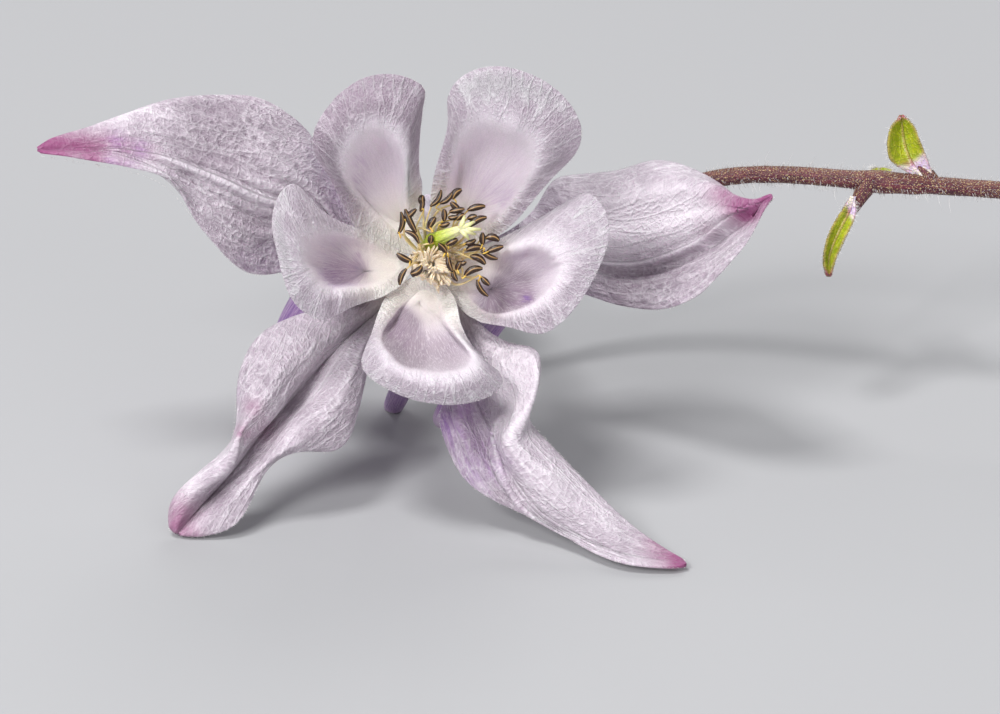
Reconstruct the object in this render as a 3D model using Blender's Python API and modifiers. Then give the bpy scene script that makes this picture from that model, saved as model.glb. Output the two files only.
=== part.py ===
"""A cut columbine flower lying on its face-side sepals, with its curved stem.

Shapes are given in millimetres in the flower's own frame, where z points out of the flower toward the viewer
and the receptacle is at the origin. The frame is then leaned over so that the flower lies on two sepal tips
and one spur. Each sepal is a sheet through five lengthwise rails, each petal a ring loft from lip to spur.
"""

import math

import bmesh
import bpy
import numpy as np
from mathutils import Vector

NAME = "cut_columbine_flower"
MM = 0.001

LEAN = math.radians(25)          # flower face looks 25 degrees above level
ROLL = math.radians(4.67)        # and is rolled a little to one side
SEAT = (-12.305, -4.538, 15.15)      # receptacle's place above the ground, millimetres

BLADE = 0.7                      # thickness of sepals, petals and bracts
SEPAL_GRID = (20, 8)             # cells along and across a sepal
PETAL_SIDES = 24
PETAL_RINGS = 14                 # rings from lip to spur tip
HOLLOW_RINGS = 9                 # of which the hollow reaches this many
MOUTH_SLANT = (0.65, 0.3, 0.1, 0, 0, 0)   # how far each spur ring still slants like the mouth
FOLD_WIDTHS = (1.5, 6.0)         # a blade is flat across below the first width, and fully folded above the second

STEM_RADIUS = 0.65
# Turned profiles, as height along the axis and radius
RECEPTACLE = ((-2.6, 0), (-2.6, 0.65), (-1.9, 1.1), (-1.1, 1.3), (-0.5, 1.35), (0.0, 1.6), (0.15, 1.5), (0.15, 0))
COLUMN = ((0.45, 0.8), (1.2, 0.8), (2.2, 0.8), (3.3, 1.1), (3.3, 1.75), (2.2, 1.5), (1.2, 1.45), (0.45, 1.5))
FILAMENT_RADIUS = 0.17
ANTHER_RADIUS = 0.32
ANTHER_TOP = 5.6                 # height of the middle anthers
ANTHER_FALL = 0.2                # how much lower they stand for each millimetre outward
PISTIL = ((0.5, 0), (0.5, 0.3), (1.0, 0.42), (3.0, 0.45), (5.2, 0.42), (6.2, 0.38), (6.5, 0.25), (6.5, 0))
STRAIGHT = (0, 0, 1)
AXIS = (0.17, 0.03, 0.985)       # direction of the stamen column
STYLE_RADIUS = 0.24

# Rails of each sepal from one margin to the other, and along each rail points from claw to tip.
SEPALS = {
    "sepal_lower_left": (
        ((-1.9, -1.2, -1.4), (-4.2, -3.6, -0.4), (-8.8, -4, 2.8), (-12.3, -5.6, 6.2),
         (-13.5, -8.8, 7.6), (-13.8, -12, 8), (-15.4, -14.9, 8.3), (-18, -17.2, 9), (-18.4, -19.3, 9.6)),
        ((-1.8, -1.4, -1.4), (-4, -3.7, 0.2), (-7.1, -5.6, 3.9), (-9.8, -7.9, 7.8), (-11.8, -10.7, 9.6),
         (-13.3, -12.4, 10), (-14.1, -14.6, 9.6), (-16.4, -16.8, 9.6), (-18.1, -19.2, 9.9)),
        ((-1.6, -1.5, -1.6), (-3.9, -3.7, -0.2), (-6.4, -6, 2.2), (-8.8, -8.7, 4.6),
         (-11.5, -11.8, 6.4), (-13.2, -14, 7.4), (-14.7, -15.8, 7.9), (-16.3, -17.6, 8.4),
         (-17.8, -19.4, 9.5)),
        ((-1.5, -1.7, -1.4), (-3.6, -3.9, 0.4), (-5.3, -6.6, 3.4), (-6.7, -9.5, 6), (-8.5, -11.6, 7.4),
         (-10.7, -13.5, 8.2), (-12.9, -15.5, 8.6), (-15.1, -17.7, 9.2), (-17.3, -19.6, 9.8)),
        ((-1.3, -1.8, -1.4), (-3.5, -4.2, 0), (-4.1, -6.6, 2.4), (-4.8, -9.8, 4.4), (-6.3, -13.3, 6),
         (-9.4, -13.6, 7), (-11.8, -15.5, 8.2), (-13.6, -18.7, 9.3), (-16.9, -19.7, 9.6)),
    ),
    "sepal_lower_right": (
        ((1.6, -1.7, -1.6), (2.2, -4, -1.3), (5.4, -5.7, 1.2), (8, -6.7, 3.8), (7.2, -10.2, 5.2),
         (8.5, -12.5, 5.8), (12.5, -16.8, 6.6), (15.9, -19.8, 7.4), (18.8, -21.5, 8)),
        ((1.4, -1.8, -1.4), (2.1, -4.2, -1.1), (4.4, -6.3, 2.2), (6.6, -8, 6.4), (6.8, -11, 7.6),
         (6.1, -13.6, 8), (10.6, -17.6, 7.8), (14, -20.6, 8.2), (18.7, -21.6, 8.2)),
        ((1.3, -1.9, -1.6), (2, -4.4, -1.4), (3.7, -6.9, 1), (4.6, -9, 3.8), (5.5, -11.7, 5),
         (5.8, -14.1, 6.2), (9.7, -18.1, 7.4), (13.7, -20.9, 7.6), (18.6, -21.7, 8.1)),
        ((1.2, -2, -1.4), (2, -4.6, -1.2), (3.1, -7.5, 1.2), (2.7, -10, 4.8), (3.5, -12.8, 6.4),
         (4.8, -14.9, 6.6), (9.1, -18.5, 6.9), (13.4, -21.2, 7.9), (18.5, -21.8, 8.2)),
        ((1, -2, -1.6), (1.9, -4.8, -1.5), (2.3, -8.2, -0.2), (0.9, -10.8, 3.2), (1.6, -13.5, 5),
         (3.5, -16.3, 6), (8.6, -18.7, 6.4), (13.3, -21.4, 8), (18.5, -21.9, 8.3)),
    ),
    "sepal_right": (
        ((1.7, 1.3, -1.6), (4.1, 1.6, -3), (7.6, 3.8, -4.9), (9.4, 6.3, -5), (12.9, 6.9, -5.4),
         (16.8, 7.6, -5), (20, 6.8, -4), (21.7, 5.5, -2.4), (23.2, 4.5, -0.4), (25, 5.1, 1.6)),
        ((1.8, 1.2, -1.4), (4.2, 1.4, -2.7), (7.8, 2.9, -4.1), (10.4, 4.4, -2.8), (13.5, 4.7, -2.6),
         (17, 5.3, -2.4), (19.9, 5.3, -1.8), (21.9, 4.7, -0.8), (23.5, 4.4, 0.6), (25, 5, 1.8)),
        ((1.9, 1, -1.6), (4.2, 1.1, -3.1), (8.4, 1.5, -4.7), (11.9, 0.9, -4.6), (15.1, 0.7, -4.6),
         (18.2, 1.4, -3.6), (20.5, 2.2, -2.2), (22.3, 3.4, -0.6), (23.8, 4.2, 0.6), (25, 4.9, 1.6)),
        ((2, 0.9, -1.4), (4.3, 0.9, -2.8), (8.6, 0.1, -4.4), (12.5, -0.8, -4.8), (15.6, -1.1, -4.4),
         (18.5, -0.4, -2.8), (20.9, 1, -0.8), (22.5, 2.5, 0.6), (23.9, 3.8, 1.4), (25.1, 4.8, 2)),
        ((2, 0.8, -1.6), (4.4, 0.7, -3.2), (8.8, -1.1, -5.2), (12.3, -2.4, -5.8), (16.3, -3.3, -3.6),
         (19.4, -2.4, -0.6), (21.7, -0.3, 1.2), (23.3, 1.7, 1.8), (24.4, 3.8, 2), (25.2, 4.8, 2)),
    ),
    "sepal_upper_left": (
        ((-1.9, 1.3, -1.6), (-3.8, 1.7, -1.8), (-5.7, 2.4, -1.8), (-7.6, 7, 0.2), (-9.3, 9.9, 1.6),
         (-12, 11.9, 2.6), (-15.6, 12, 3.8), (-19.6, 11, 5.4), (-23.5, 9.3, 6.8), (-27.9, 8.4, 8.4)),
        ((-2, 1.1, -1.4), (-3.8, 1.5, -1.5), (-5.8, 2.2, -1.6), (-8, 5.5, 1.4), (-10.7, 7.5, 3.6),
         (-13.5, 9.1, 4.4), (-16.7, 9.7, 5.4), (-20.2, 9.8, 6.6), (-23.6, 8.9, 7.6), (-27.9, 8.3, 8.6)),
        ((-2.1, 1, -1.6), (-3.9, 1.3, -1.9), (-5.9, 2, -2), (-8.5, 4.1, 0.8), (-11.6, 4.9, 3.2),
         (-14.4, 6, 4.6), (-17.2, 7, 5.8), (-20.4, 8, 7), (-23.8, 8.2, 7.8), (-27.9, 8.1, 8.6)),
        ((-2.1, 0.8, -1.4), (-4, 1, -1.6), (-6, 1.8, -1.8), (-9, 2.6, 0.8), (-12.3, 2.3, 3),
         (-14.7, 3.7, 4.4), (-17.1, 5.3, 5.8), (-20.2, 6.9, 7.2), (-23.7, 7.8, 8), (-27.9, 7.9, 8.7)),
        ((-2.2, 0.7, -1.6), (-4.1, 0.8, -2), (-6, 1.6, -2.3), (-9.6, 1.2, -0.2), (-12.6, -0.8, 2.2),
         (-14.6, 0.5, 4), (-16.8, 3.1, 5.6), (-19.2, 5.7, 7.2), (-23.2, 6.9, 8.2), (-27.6, 7.6, 8.8)),
    ),
}

# The fifth sepal bends straight back: its middle line, and half its width at each point.
TOP_MIDLINE = (
    (-0.1, 2, -1.6), (0.2, 3.6, -2.8), (0.2, 4.4, -5.2), (0.1, 5, -9), (-0.5, 5.2, -13.6),
    (-1.2, 5.2, -18), (-1.8, 5, -22), (-2.4, 4.6, -25), (-2.9, 4.4, -27.6),
)
TOP_HALF_WIDTH = (0.4, 0.5, 0.7, 1.7, 4.2, 5.2, 4.0, 2.0, 0.3)

# Each petal: the rim of its lip and the crest inside it, both from the claw round by the left margin, then the
# spur as centres and radii.
PETALS = {
    "petal_bottom": dict(
        rim=((0, -2.2, 1.2), (-1.7, -2.5, 2.2), (-3.4, -3.7, 4.2), (-4.2, -5.6, 6.6), (-4.6, -7.6, 8.8),
             (-2.6, -9.2, 10.2), (0.4, -10.1, 10.8), (3.8, -9.9, 10.2), (5.5, -8.4, 8.8),
             (3.8, -6.6, 6.6), (2.5, -4.7, 4.2), (1.3, -2.9, 2.2)),
        crest=((-0.1, -2.6, 0.4), (-1.4, -3, 1.4), (-2.7, -4, 3.5), (-3.4, -5.3, 6.1), (-3, -6.5, 8.8),
               (-1.7, -7.6, 10.2), (0.5, -8.2, 10.6), (2.7, -7.9, 10.2), (3.4, -6.9, 8.8),
               (2.5, -5.6, 6.1), (1.6, -4.4, 3.5), (0.7, -3.2, 1.4)),
        spur=((-0.3, -5.4, 2.4, 2.6), (-0.8, -6.1, -0.2, 1.9), (-1.3, -7.2, -3.4, 1.3),
              (-1.8, -8.5, -6.8, 0.9), (-2.3, -9.6, -9.8, 0.6), (-2.7, -10.4, -12.2, 0.4)),
    ),
    "petal_right": dict(
        rim=((2.3, -0.9, 1), (2.6, -2.9, 1.2), (3.9, -4.2, 2.2), (6.2, -4.7, 4.2), (8.6, -5, 6.2),
             (10.9, -2.9, 7.6), (12.5, -0.1, 8), (13.1, 2.7, 7.6), (11.7, 4.9, 6.6), (9, 3.7, 4.6),
             (5.5, 1.7, 2.2), (3.2, 0.4, 1.2)),
        crest=((2.8, -1, 0.2), (3, -2.6, 0.4), (4.2, -3.7, 1.5), (6.1, -3.7, 3.7), (7.9, -3, 6),
               (9.3, -1.7, 7.2), (9.9, -0.2, 7.6), (9.3, 0.9, 7.2), (8, 1.5, 6), (6.1, 1.1, 4),
               (4.5, 0.5, 1.5), (3.3, -0.2, 0.4)),
        spur=((5.8, -1.5, 1.2, 2.6), (5.3, -2.3, -1, 1.9), (4.2, -4.3, -3, 1.2), (3, -6.8, -4.9, 0.9),
              (2, -9.2, -6.4, 0.6), (1.1, -11.3, -7.4, 0.5)),
    ),
    "petal_upper_right": dict(
        rim=((1.2, 2.2, 1.2), (0.9, 4.2, 2.6), (0.9, 7.2, 5), (1.5, 9.7, 7.4), (1.7, 12.2, 9.4),
             (4, 13.9, 10.4), (7.5, 13.4, 10.2), (10.3, 11.3, 9.4), (11, 8.4, 8), (8.7, 5.7, 6),
             (6.1, 3.1, 3.6), (2.9, 1.9, 1.4)),
        crest=((1.5, 2.5, 0.4), (1.3, 4.2, 1.8), (1.6, 6.6, 4.3), (2.1, 8.5, 6.8), (3, 9.6, 8.8),
               (4.5, 10.2, 9.8), (6.4, 9.7, 9.6), (7.7, 8.8, 8.8), (7.8, 7.2, 7.4), (6.8, 5.3, 5.2),
               (5, 3.4, 2.9), (2.9, 2.5, 0.6)),
        spur=((4.1, 5.4, 1.2, 2.7), (4.3, 4.7, -1.6, 1.9), (4.6, 4.3, -4.4, 1.3), (4.9, 4, -7.4, 0.9),
              (5.1, 3.8, -10.4, 0.6), (5.1, 3.5, -12.8, 0.4)),
    ),
    "petal_upper_left": dict(
        rim=((-1, 2.2, 1.2), (-2.9, 2.7, 1.4), (-5.6, 3.9, 2.9), (-7, 6.1, 6), (-8.2, 8.8, 8.6),
             (-6.3, 11.9, 10.2), (-3.2, 13.4, 10.6), (-0.3, 12.6, 10), (-0.3, 10.5, 8.6),
             (-0.6, 7.4, 6.2), (-0.5, 4.9, 3.6), (-0.3, 3, 2)),
        crest=((-1.4, 2.5, 0.4), (-2.8, 2.9, 0.6), (-4.5, 4.2, 2.2), (-5.7, 5.8, 5.5), (-5.9, 7.3, 8.2),
               (-5.2, 8.9, 9.8), (-3.5, 9.9, 10.2), (-2, 9, 9.6), (-1.5, 7.5, 8.2), (-1.5, 5.7, 5.7),
               (-1.4, 4.2, 2.9), (-1, 3, 1.2)),
        spur=((-3.2, 5.4, 1.4, 2.7), (-3.6, 4.6, -1.4, 1.9), (-4.2, 3.9, -4.2, 1.3),
              (-4.7, 3.3, -7.2, 0.9), (-5.2, 2.7, -10, 0.6), (-5.6, 2.2, -12.2, 0.4)),
    ),
    "petal_left": dict(
        rim=((-2.2, 0, 1.4), (-3.2, 0.8, 2.6), (-5.6, 2.1, 4.8), (-7.7, 3.9, 6.8), (-9.7, 5.6, 8.6),
             (-11, 3.4, 10.2), (-10.6, 0.4, 10.8), (-9.6, -2.7, 10.2), (-7.5, -4.1, 9), (-5.8, -3.3, 7),
             (-3.9, -2.4, 4.4), (-2.4, -1.2, 2)),
        crest=((-2.7, 0, 0.6), (-3.5, 0.8, 1.8), (-5.3, 1.7, 4.1), (-7.1, 2.2, 6.3), (-8.4, 1.9, 8.4),
               (-8.8, 1, 9.6), (-8.8, 0, 9.9), (-8.2, -1.1, 9.6), (-7.2, -2, 8.4), (-5.7, -2, 6.4),
               (-4.2, -1.6, 3.7), (-3, -0.8, 1.2)),
        spur=((-5.7, -0.3, 1.4, 2.5), (-6.9, -1.2, -0.8, 1.9), (-8.5, -2.6, -2.8, 1.4),
              (-9.9, -4.2, -5, 1), (-11.1, -6.1, -7.2, 0.7), (-12.1, -7.9, -9, 0.5)),
    ),
}

STEM_PATH = (
    (0, -0.1, -1.6), (0, -0.7, -3.9), (0.3, -2.7, -7.3), (1.3, -4.3, -11.1), (3.5, -3.9, -15),
    (8, -0.7, -17.9), (14.5, 4.1, -19), (23, 6.9, -17.7), (32.9, 6.5, -16.2), (44.1, 5.7, -16.2),
    (53.6, 4.5, -15.2),
)

# Bracts as rails, and the short stalk that carries each one from the stem.
BRACTS = {
    "bract_upper": (
        ((36.5, 8.0, -16.2), (34.9, 8.3, -15.6), (34.5, 9.5, -15.4), (34.6, 10.6, -15.6), (35.3, 11.4, -16)),
        ((36.8, 8.0, -16.5), (35.8, 8.3, -16.8), (35.5, 9.5, -17), (35.5, 10.5, -16.8), (35.5, 11.4, -16.2)),
        ((37.1, 8.0, -16.2), (37.1, 8.4, -15.6), (36.8, 9.3, -15.4), (36.3, 10.5, -15.6), (35.7, 11.4, -16)),
    ),
    "bract_lower": (
        ((31.3, 4.8, -15.9), (30.8, 4.1, -15.2), (30, 2.5, -14.2), (29.5, 0.7, -13.6), (29.7, -0.6, -13.4)),
        ((31.6, 4.7, -16.2), (31.5, 4, -15.8), (30.7, 2.5, -15), (30, 0.7, -14.4), (29.9, -0.7, -13.7)),
        ((32, 4.6, -15.9), (32, 3.8, -15.2), (31.3, 2.4, -14.2), (30.5, 0.7, -13.6), (30.1, -0.7, -13.4)),
    ),
    "bract_small": (
        ((33.9, 7.4, -18.0), (33.4, 7.9, -18.9), (33.6, 8.2, -20.0), (34.0, 8.3, -20.9)),
        ((34.2, 7.1, -18.1), (34.2, 7.5, -19.1), (34.2, 7.8, -20.1), (34.2, 8.2, -21.0)),
        ((34.5, 7.4, -18.0), (35.0, 7.9, -18.9), (34.8, 8.2, -20.0), (34.4, 8.3, -20.9)),
    ),
}
BRACT_STALKS = (
    ((36.4, 6.4, -16.2, 0.6), (36.7, 7.0, -16.2, 0.6), (36.8, 7.35, -16.3, 0.5)),
    ((33.0, 6.6, -16.2, 0.6), (32.3, 6.0, -16.1, 0.55), (31.9, 5.3, -16.1, 0.45)),
    ((34.2, 6.5, -16.4, 0.5), (34.2, 6.8, -17.0, 0.45), (34.2, 7.0, -17.55, 0.4)),
)

# Near and far end of each anther, seen from the front.
ANTHERS = (
    (-2.1, 2.1, -1.9, 3.7), (-1.8, 3, -0.8, 3.9), (-0.8, 2.2, -1.6, 3.9), (-0.6, 1.4, -1.6, 2.3),
    (-0.5, 3.7, -0.5, 4.9), (-0.3, 4.2, -0.3, 4.9), (0.2, 4.1, 1, 5.3), (0.9, 4.3, 1.8, 5.1),
    (1.8, 4.6, 2.5, 5.3), (2.4, 3.8, 1.7, 4.4), (1.2, 3, 1.2, 3.9), (1.6, 3.7, 2.7, 3.9),
    (0.1, 2.5, 0.6, 3.3), (0.9, 2.7, 1.6, 2.9), (1.5, 3.3, 2.2, 3.4), (2.1, 3.1, 2.7, 3.5),
    (2.9, 3.8, 4.2, 4.1), (2.9, 3.2, 3.6, 3.4), (3, 2.6, 4.3, 3.3), (4, 1.3, 4, 2.2),
    (4.2, 1.8, 5.2, 1.6), (2.7, 1.4, 3.5, 1.7), (1.4, 1.3, 2.2, 1.7), (0.2, 1.4, 0.3, 2),
    (1.4, 0.7, 0.8, 1.4), (4.3, 0.8, 5.5, 1.2), (3.9, 0.9, 5.1, 0.3), (2.8, 0.9, 4, 1.1),
    (3.1, 0.5, 4.2, -0.1), (2.3, 0, 2.8, 0.1), (2.1, -0.5, 2.4, 0.1), (1.5, 0.5, 1.8, -0.6),
    (1.9, -0.5, 2.2, -1.3), (2.7, -0.9, 4, -0.4), (3.9, -1, 4.5, -1.6), (3.6, -1.2, 4.4, -2.4),
    (-1.1, 0.1, -2.2, 0.7), (-1.5, -0.4, -2, -1.6), (-0.4, -0.2, -1.2, -0.8),
)
STYLES = (
    ((1.0, 0.2, 6.1), (1.5, 1.6, 6.8), (2.2, 2.9, 7.0), (2.8, 3.4, 6.8)),
    ((1.0, 0.2, 6.1), (1.9, 1.2, 6.9), (2.9, 1.9, 7.1), (3.6, 2.4, 6.7)),
    ((1.0, 0.2, 6.1), (1.8, 0.7, 6.8), (2.6, 1.1, 7.0), (3.0, 1.7, 7.0)),
)

COLOURS = {
    "sepal": (0.78, 0.70, 0.82),
    "petal": (0.88, 0.84, 0.90),
    "stem": (0.28, 0.09, 0.07),
    "bract": (0.45, 0.55, 0.12),
    "stamens": (0.80, 0.70, 0.40),
    "pistil": (0.50, 0.60, 0.15),
}
ROUGHNESS = 0.55


def clear_scene():
    """Removes every object that the startup scene holds."""
    for obj in list(bpy.data.objects):
        bpy.data.objects.remove(obj, do_unlink=True)


def new_collection(name):
    """A collection in the scene."""
    made = bpy.data.collections.new(name)
    bpy.context.scene.collection.children.link(made)
    return made


def spline(knots, t, closed=False):
    """Cubic spline through evenly spaced knots, at t from 0 to 1. Its ends are free, or it closes on itself."""
    knots = np.asarray(knots, float)
    n = len(knots)
    spans = n if closed else n - 1
    system = 4 * np.eye(n) + np.eye(n, k=1) + np.eye(n, k=-1)
    right = 6 * (np.roll(knots, -1, 0) - 2 * knots + np.roll(knots, 1, 0))
    if closed:
        system[0, -1] = system[-1, 0] = 1
    else:
        system[[0, -1]] = 0
        system[0, 0] = system[-1, -1] = 1
        right[[0, -1]] = 0
    bend = np.linalg.solve(system, right.reshape(n, -1)).reshape(knots.shape)
    s = np.asarray(t, float) * spans
    i = np.clip(s.astype(int), 0, spans - 1)
    f = (s - i).reshape((-1,) + (1,) * (knots.ndim - 1))
    j = (i + 1) % n
    return knots[i] * (1 - f) + knots[j] * f - f * (1 - f) * ((2 - f) * bend[i] + (1 + f) * bend[j]) / 6


def unit(v):
    """The vectors at length one."""
    v = np.asarray(v, float)
    return v / np.linalg.norm(v, axis=-1, keepdims=True)


def place(points):
    """Flower-frame millimetres to the leaned-over pose, in metres."""
    points = np.asarray(points, float)
    level = np.array([0, math.sin(LEAN), math.cos(LEAN)])
    right = math.cos(ROLL) * np.array([1, 0, 0]) + math.sin(ROLL) * level
    up = math.cos(ROLL) * level - math.sin(ROLL) * np.array([1, 0, 0])
    out = np.array([0, -math.cos(LEAN), math.sin(LEAN)])
    return (points @ np.stack([right, up, out]) + SEAT) * MM


def add_mesh(name, collection, points, faces, smooth=True):
    """A mesh object from flower-frame points, with its normals turned outward."""
    mesh = bpy.data.meshes.new(name)
    mesh.from_pydata(place(points).tolist(), [], faces)
    shell = bmesh.new()
    shell.from_mesh(mesh)
    bmesh.ops.recalc_face_normals(shell, faces=shell.faces)
    shell.to_mesh(mesh)
    shell.free()
    mesh.shade_smooth() if smooth else mesh.shade_flat()
    obj = bpy.data.objects.new(name, mesh)
    collection.objects.link(obj)
    return obj


def paint(obj, colour):
    """Gives the object a plain material of its own."""
    material = bpy.data.materials.new(obj.name)
    material.use_nodes = True
    shader = material.node_tree.nodes["Principled BSDF"]
    shader.inputs["Base Color"].default_value = (*colour, 1)
    shader.inputs["Roughness"].default_value = ROUGHNESS
    obj.data.materials.append(material)


def hide(obj):
    """Marks a helper that only a Boolean uses."""
    obj.hide_render = True
    obj.display_type = "WIRE"


def boolean(obj, operand, operation):
    """Joins or cuts the object with the operand, exactly."""
    step = obj.modifiers.new(operand.name, "BOOLEAN")
    step.operation = operation
    step.object = operand
    step.solver = "EXACT"
    step.use_self = operation == "UNION"


def sheet_points(rails, along, across):
    """Grid through the rails: splines run along each rail, then across them. Narrow parts are flattened."""
    rails = np.asarray(rails, float).transpose(1, 0, 2)
    lines = spline(rails, np.linspace(0, 1, along + 1))
    share = np.linspace(0, 1, lines.shape[1])[None, :, None]
    chord = lines[:, :1] * (1 - share) + lines[:, -1:] * share
    width = np.linalg.norm(lines[:, -1] - lines[:, 0], axis=-1)
    fold = np.clip((width - FOLD_WIDTHS[0]) / (FOLD_WIDTHS[1] - FOLD_WIDTHS[0]), 0, 1)[:, None, None]
    lines = chord + (lines - chord) * fold
    return spline(lines.transpose(1, 0, 2), np.linspace(0, 1, across + 1)).transpose(1, 0, 2)


def blade(name, collection, rails, cells, colour):
    """A thin curved leaf: a triangulated sheet, made solid by the blade's thickness."""
    along, across = cells
    grid = sheet_points(rails, along, across).reshape(-1, 3)
    row = across + 1
    corners = [i * row + j for i in range(along) for j in range(across)]
    faces = [(c, c + row, c + row + 1) for c in corners] + [(c, c + row + 1, c + 1) for c in corners]
    obj = add_mesh(name, collection, grid, faces)
    solid = obj.modifiers.new("thickness", "SOLIDIFY")
    solid.thickness = BLADE * MM
    solid.offset = 0
    paint(obj, colour)
    return obj


def loft_faces(rings, sides):
    """Faces between successive rings of points, with a cap on each end."""
    faces = []
    for k in range(rings - 1):
        a, b = k * sides, (k + 1) * sides
        faces += [(a + j, a + (j + 1) % sides, b + (j + 1) % sides, b + j) for j in range(sides)]
    faces.append(tuple(range(sides))[::-1])
    faces.append(tuple(range((rings - 1) * sides, rings * sides)))
    return faces


def rods(name, collection, list_of_rods, bevel_resolution):
    """One mesh of capped round rods, each from a curve through its path with a radius at every point."""
    curve = bpy.data.curves.new(name, "CURVE")
    curve.dimensions = "3D"
    curve.bevel_depth = MM
    curve.bevel_resolution = bevel_resolution
    curve.use_fill_caps = True
    for path, radii in list_of_rods:
        line = curve.splines.new("POLY")
        line.points.add(len(path) - 1)
        for point, where, radius in zip(line.points, place(path), radii):
            point.co = (*where, 1)
            point.radius = radius
    guide = bpy.data.objects.new(name + "_curve", curve)
    mesh = bpy.data.meshes.new_from_object(guide)
    bpy.data.objects.remove(guide)
    weld_and_smooth(mesh)
    obj = bpy.data.objects.new(name, mesh)
    collection.objects.link(obj)
    return obj


def weld_and_smooth(mesh):
    """Joins the loose caps that a curve leaves, turns normals outward and shades smooth."""
    shell = bmesh.new()
    shell.from_mesh(mesh)
    bmesh.ops.remove_doubles(shell, verts=shell.verts, dist=1e-7)
    bmesh.ops.recalc_face_normals(shell, faces=shell.faces)
    shell.to_mesh(mesh)
    shell.free()
    mesh.shade_smooth()


def turned(name, collection, profile, axis, steps):
    """A turned piece: a Screw modifier spins the profile of heights and radii round an axis through the receptacle."""
    points = [(radius * MM, 0, height * MM) for height, radius in profile]
    edges = [(i, i + 1) for i in range(len(points) - 1)]
    if profile[0][1] > 0:
        edges.append((len(points) - 1, 0))
    mesh = bpy.data.meshes.new(name)
    mesh.from_pydata(points, edges, [])
    obj = bpy.data.objects.new(name, mesh)
    collection.objects.link(obj)
    foot, ahead = place([(0, 0, 0), axis])
    obj.location = foot
    obj.rotation_mode = "QUATERNION"
    obj.rotation_quaternion = Vector(ahead - foot).to_track_quat("Z", "Y")
    spin = obj.modifiers.new("spin", "SCREW")
    spin.steps = spin.render_steps = steps
    spin.use_merge_vertices = True
    spin.merge_threshold = 1e-6
    spin.use_normal_calculate = True
    spin.use_normal_flip = profile[0][1] > 0
    spin.use_smooth_shade = True
    return obj


def petal_rings(rim, crest, spur):
    """The petal's middle surface as rings: rim, crest, then circles that turn evenly down the spur."""
    rim, crest, spur = np.array(rim, float), np.array(crest, float), np.array(spur, float)
    middle = crest.mean(0)
    ahead = unit(np.gradient(np.vstack([middle, spur[:, :3]]), axis=0)[1:])
    out = crest - middle
    rings = [rim, crest]
    for (x, y, z, radius), direction, slant in zip(spur, ahead, MOUTH_SLANT):
        flat = out - np.outer(out @ direction, direction)
        lift = np.outer(out @ direction, direction) * slant * radius / np.linalg.norm(flat, axis=1).max()
        side = unit(flat[0])
        other = np.cross(direction, side)
        angles = np.unwrap(np.arctan2(flat @ other, flat @ side))
        if len(rings) == 2:
            sense = np.sign(angles[-1] - angles[0])
        even = np.arange(len(crest)) * 2 * math.pi / len(crest) * sense
        share = min(max((radius - 1.2) / 4, 0), 1)
        angles = share * angles + (1 - share) * even
        circle = radius * (np.outer(np.cos(angles), side) + np.outer(np.sin(angles), other))
        rings.append((x, y, z) + circle + lift)
    coarse = spline(rings, np.linspace(0, 1, PETAL_RINGS))
    turns = np.arange(PETAL_SIDES) / PETAL_SIDES
    return spline(coarse.transpose(1, 0, 2), turns, closed=True).transpose(1, 0, 2)


def petal(name, collection, shape, colour):
    """A hollow petal: outer skin from spur tip to rim, then inner skin back down into the spur."""
    middle = petal_rings(**shape)
    down = np.gradient(middle, axis=0)
    round_it = np.roll(middle, -1, 1) - np.roll(middle, 1, 1)
    normal = unit(np.cross(down, round_it))
    away = middle[-3] - middle[-3].mean(0)
    if (normal[-3] * away).sum() < 0:
        normal = -normal
    outer = (middle + normal * BLADE / 2)[::-1]
    inner = (middle - normal * BLADE / 2)[:HOLLOW_RINGS]
    rings = np.concatenate([outer, inner])
    faces = loft_faces(len(rings), PETAL_SIDES)
    obj = add_mesh(name, collection, rings.reshape(-1, 3), faces)
    paint(obj, colour)
    return obj


def stem(collection, helpers):
    """The stalk, with the receptacle and the bract stalks joined on."""
    steps = np.linspace(0, 1, 41)
    path = spline(STEM_PATH, steps)
    radii = STEM_RADIUS * (0.92 + 0.16 * steps)
    obj = rods("stem", collection, [(path, radii)], 3)
    stalks = [(np.array(stalk)[:, :3], np.array(stalk)[:, 3]) for stalk in BRACT_STALKS]
    knob = turned("receptacle_knob", helpers, RECEPTACLE, STRAIGHT, 24)
    carriers = rods("bract_stalks", helpers, stalks, 2)
    for helper in (knob, carriers):
        hide(helper)
        boolean(obj, helper, "UNION")
    paint(obj, COLOURS["stem"])
    return obj


def stamen(near, far):
    """Path and radii of one stamen: a filament out of the column wall, swelling into its anther."""
    heights = [ANTHER_TOP - ANTHER_FALL * math.hypot(x - 1.5, y - 1.9) for x, y in (near, far)]
    start, end = np.array((*near, heights[0])), np.array((*far, heights[1] + 0.2))
    axis = unit(AXIS)
    lean = start - axis * (start @ axis)
    foot = axis * 2.5 + unit(lean) * 1.3
    knee = axis * 3.6 + unit(lean) * (1.3 + 0.25 * np.linalg.norm(lean))
    filament = spline([foot, knee, start], np.array((0, 0.45, 0.92)))
    anther = [start + (end - start) * t for t in (0.12, 0.65, 1)]
    radii = [FILAMENT_RADIUS] * 3 + [ANTHER_RADIUS * r for r in (0.95, 1, 0.4)]
    return np.vstack([filament, anther]), radii


def stamens(collection, helpers):
    """The hollow stamen column with every filament and anther joined to it."""
    obj = turned("stamens", collection, COLUMN, AXIS, 20)
    threads = rods("filaments_and_anthers", helpers, [stamen(a[:2], a[2:]) for a in ANTHERS], 1)
    hide(threads)
    boolean(obj, threads, "UNION")
    paint(obj, COLOURS["stamens"])
    return obj


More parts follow.
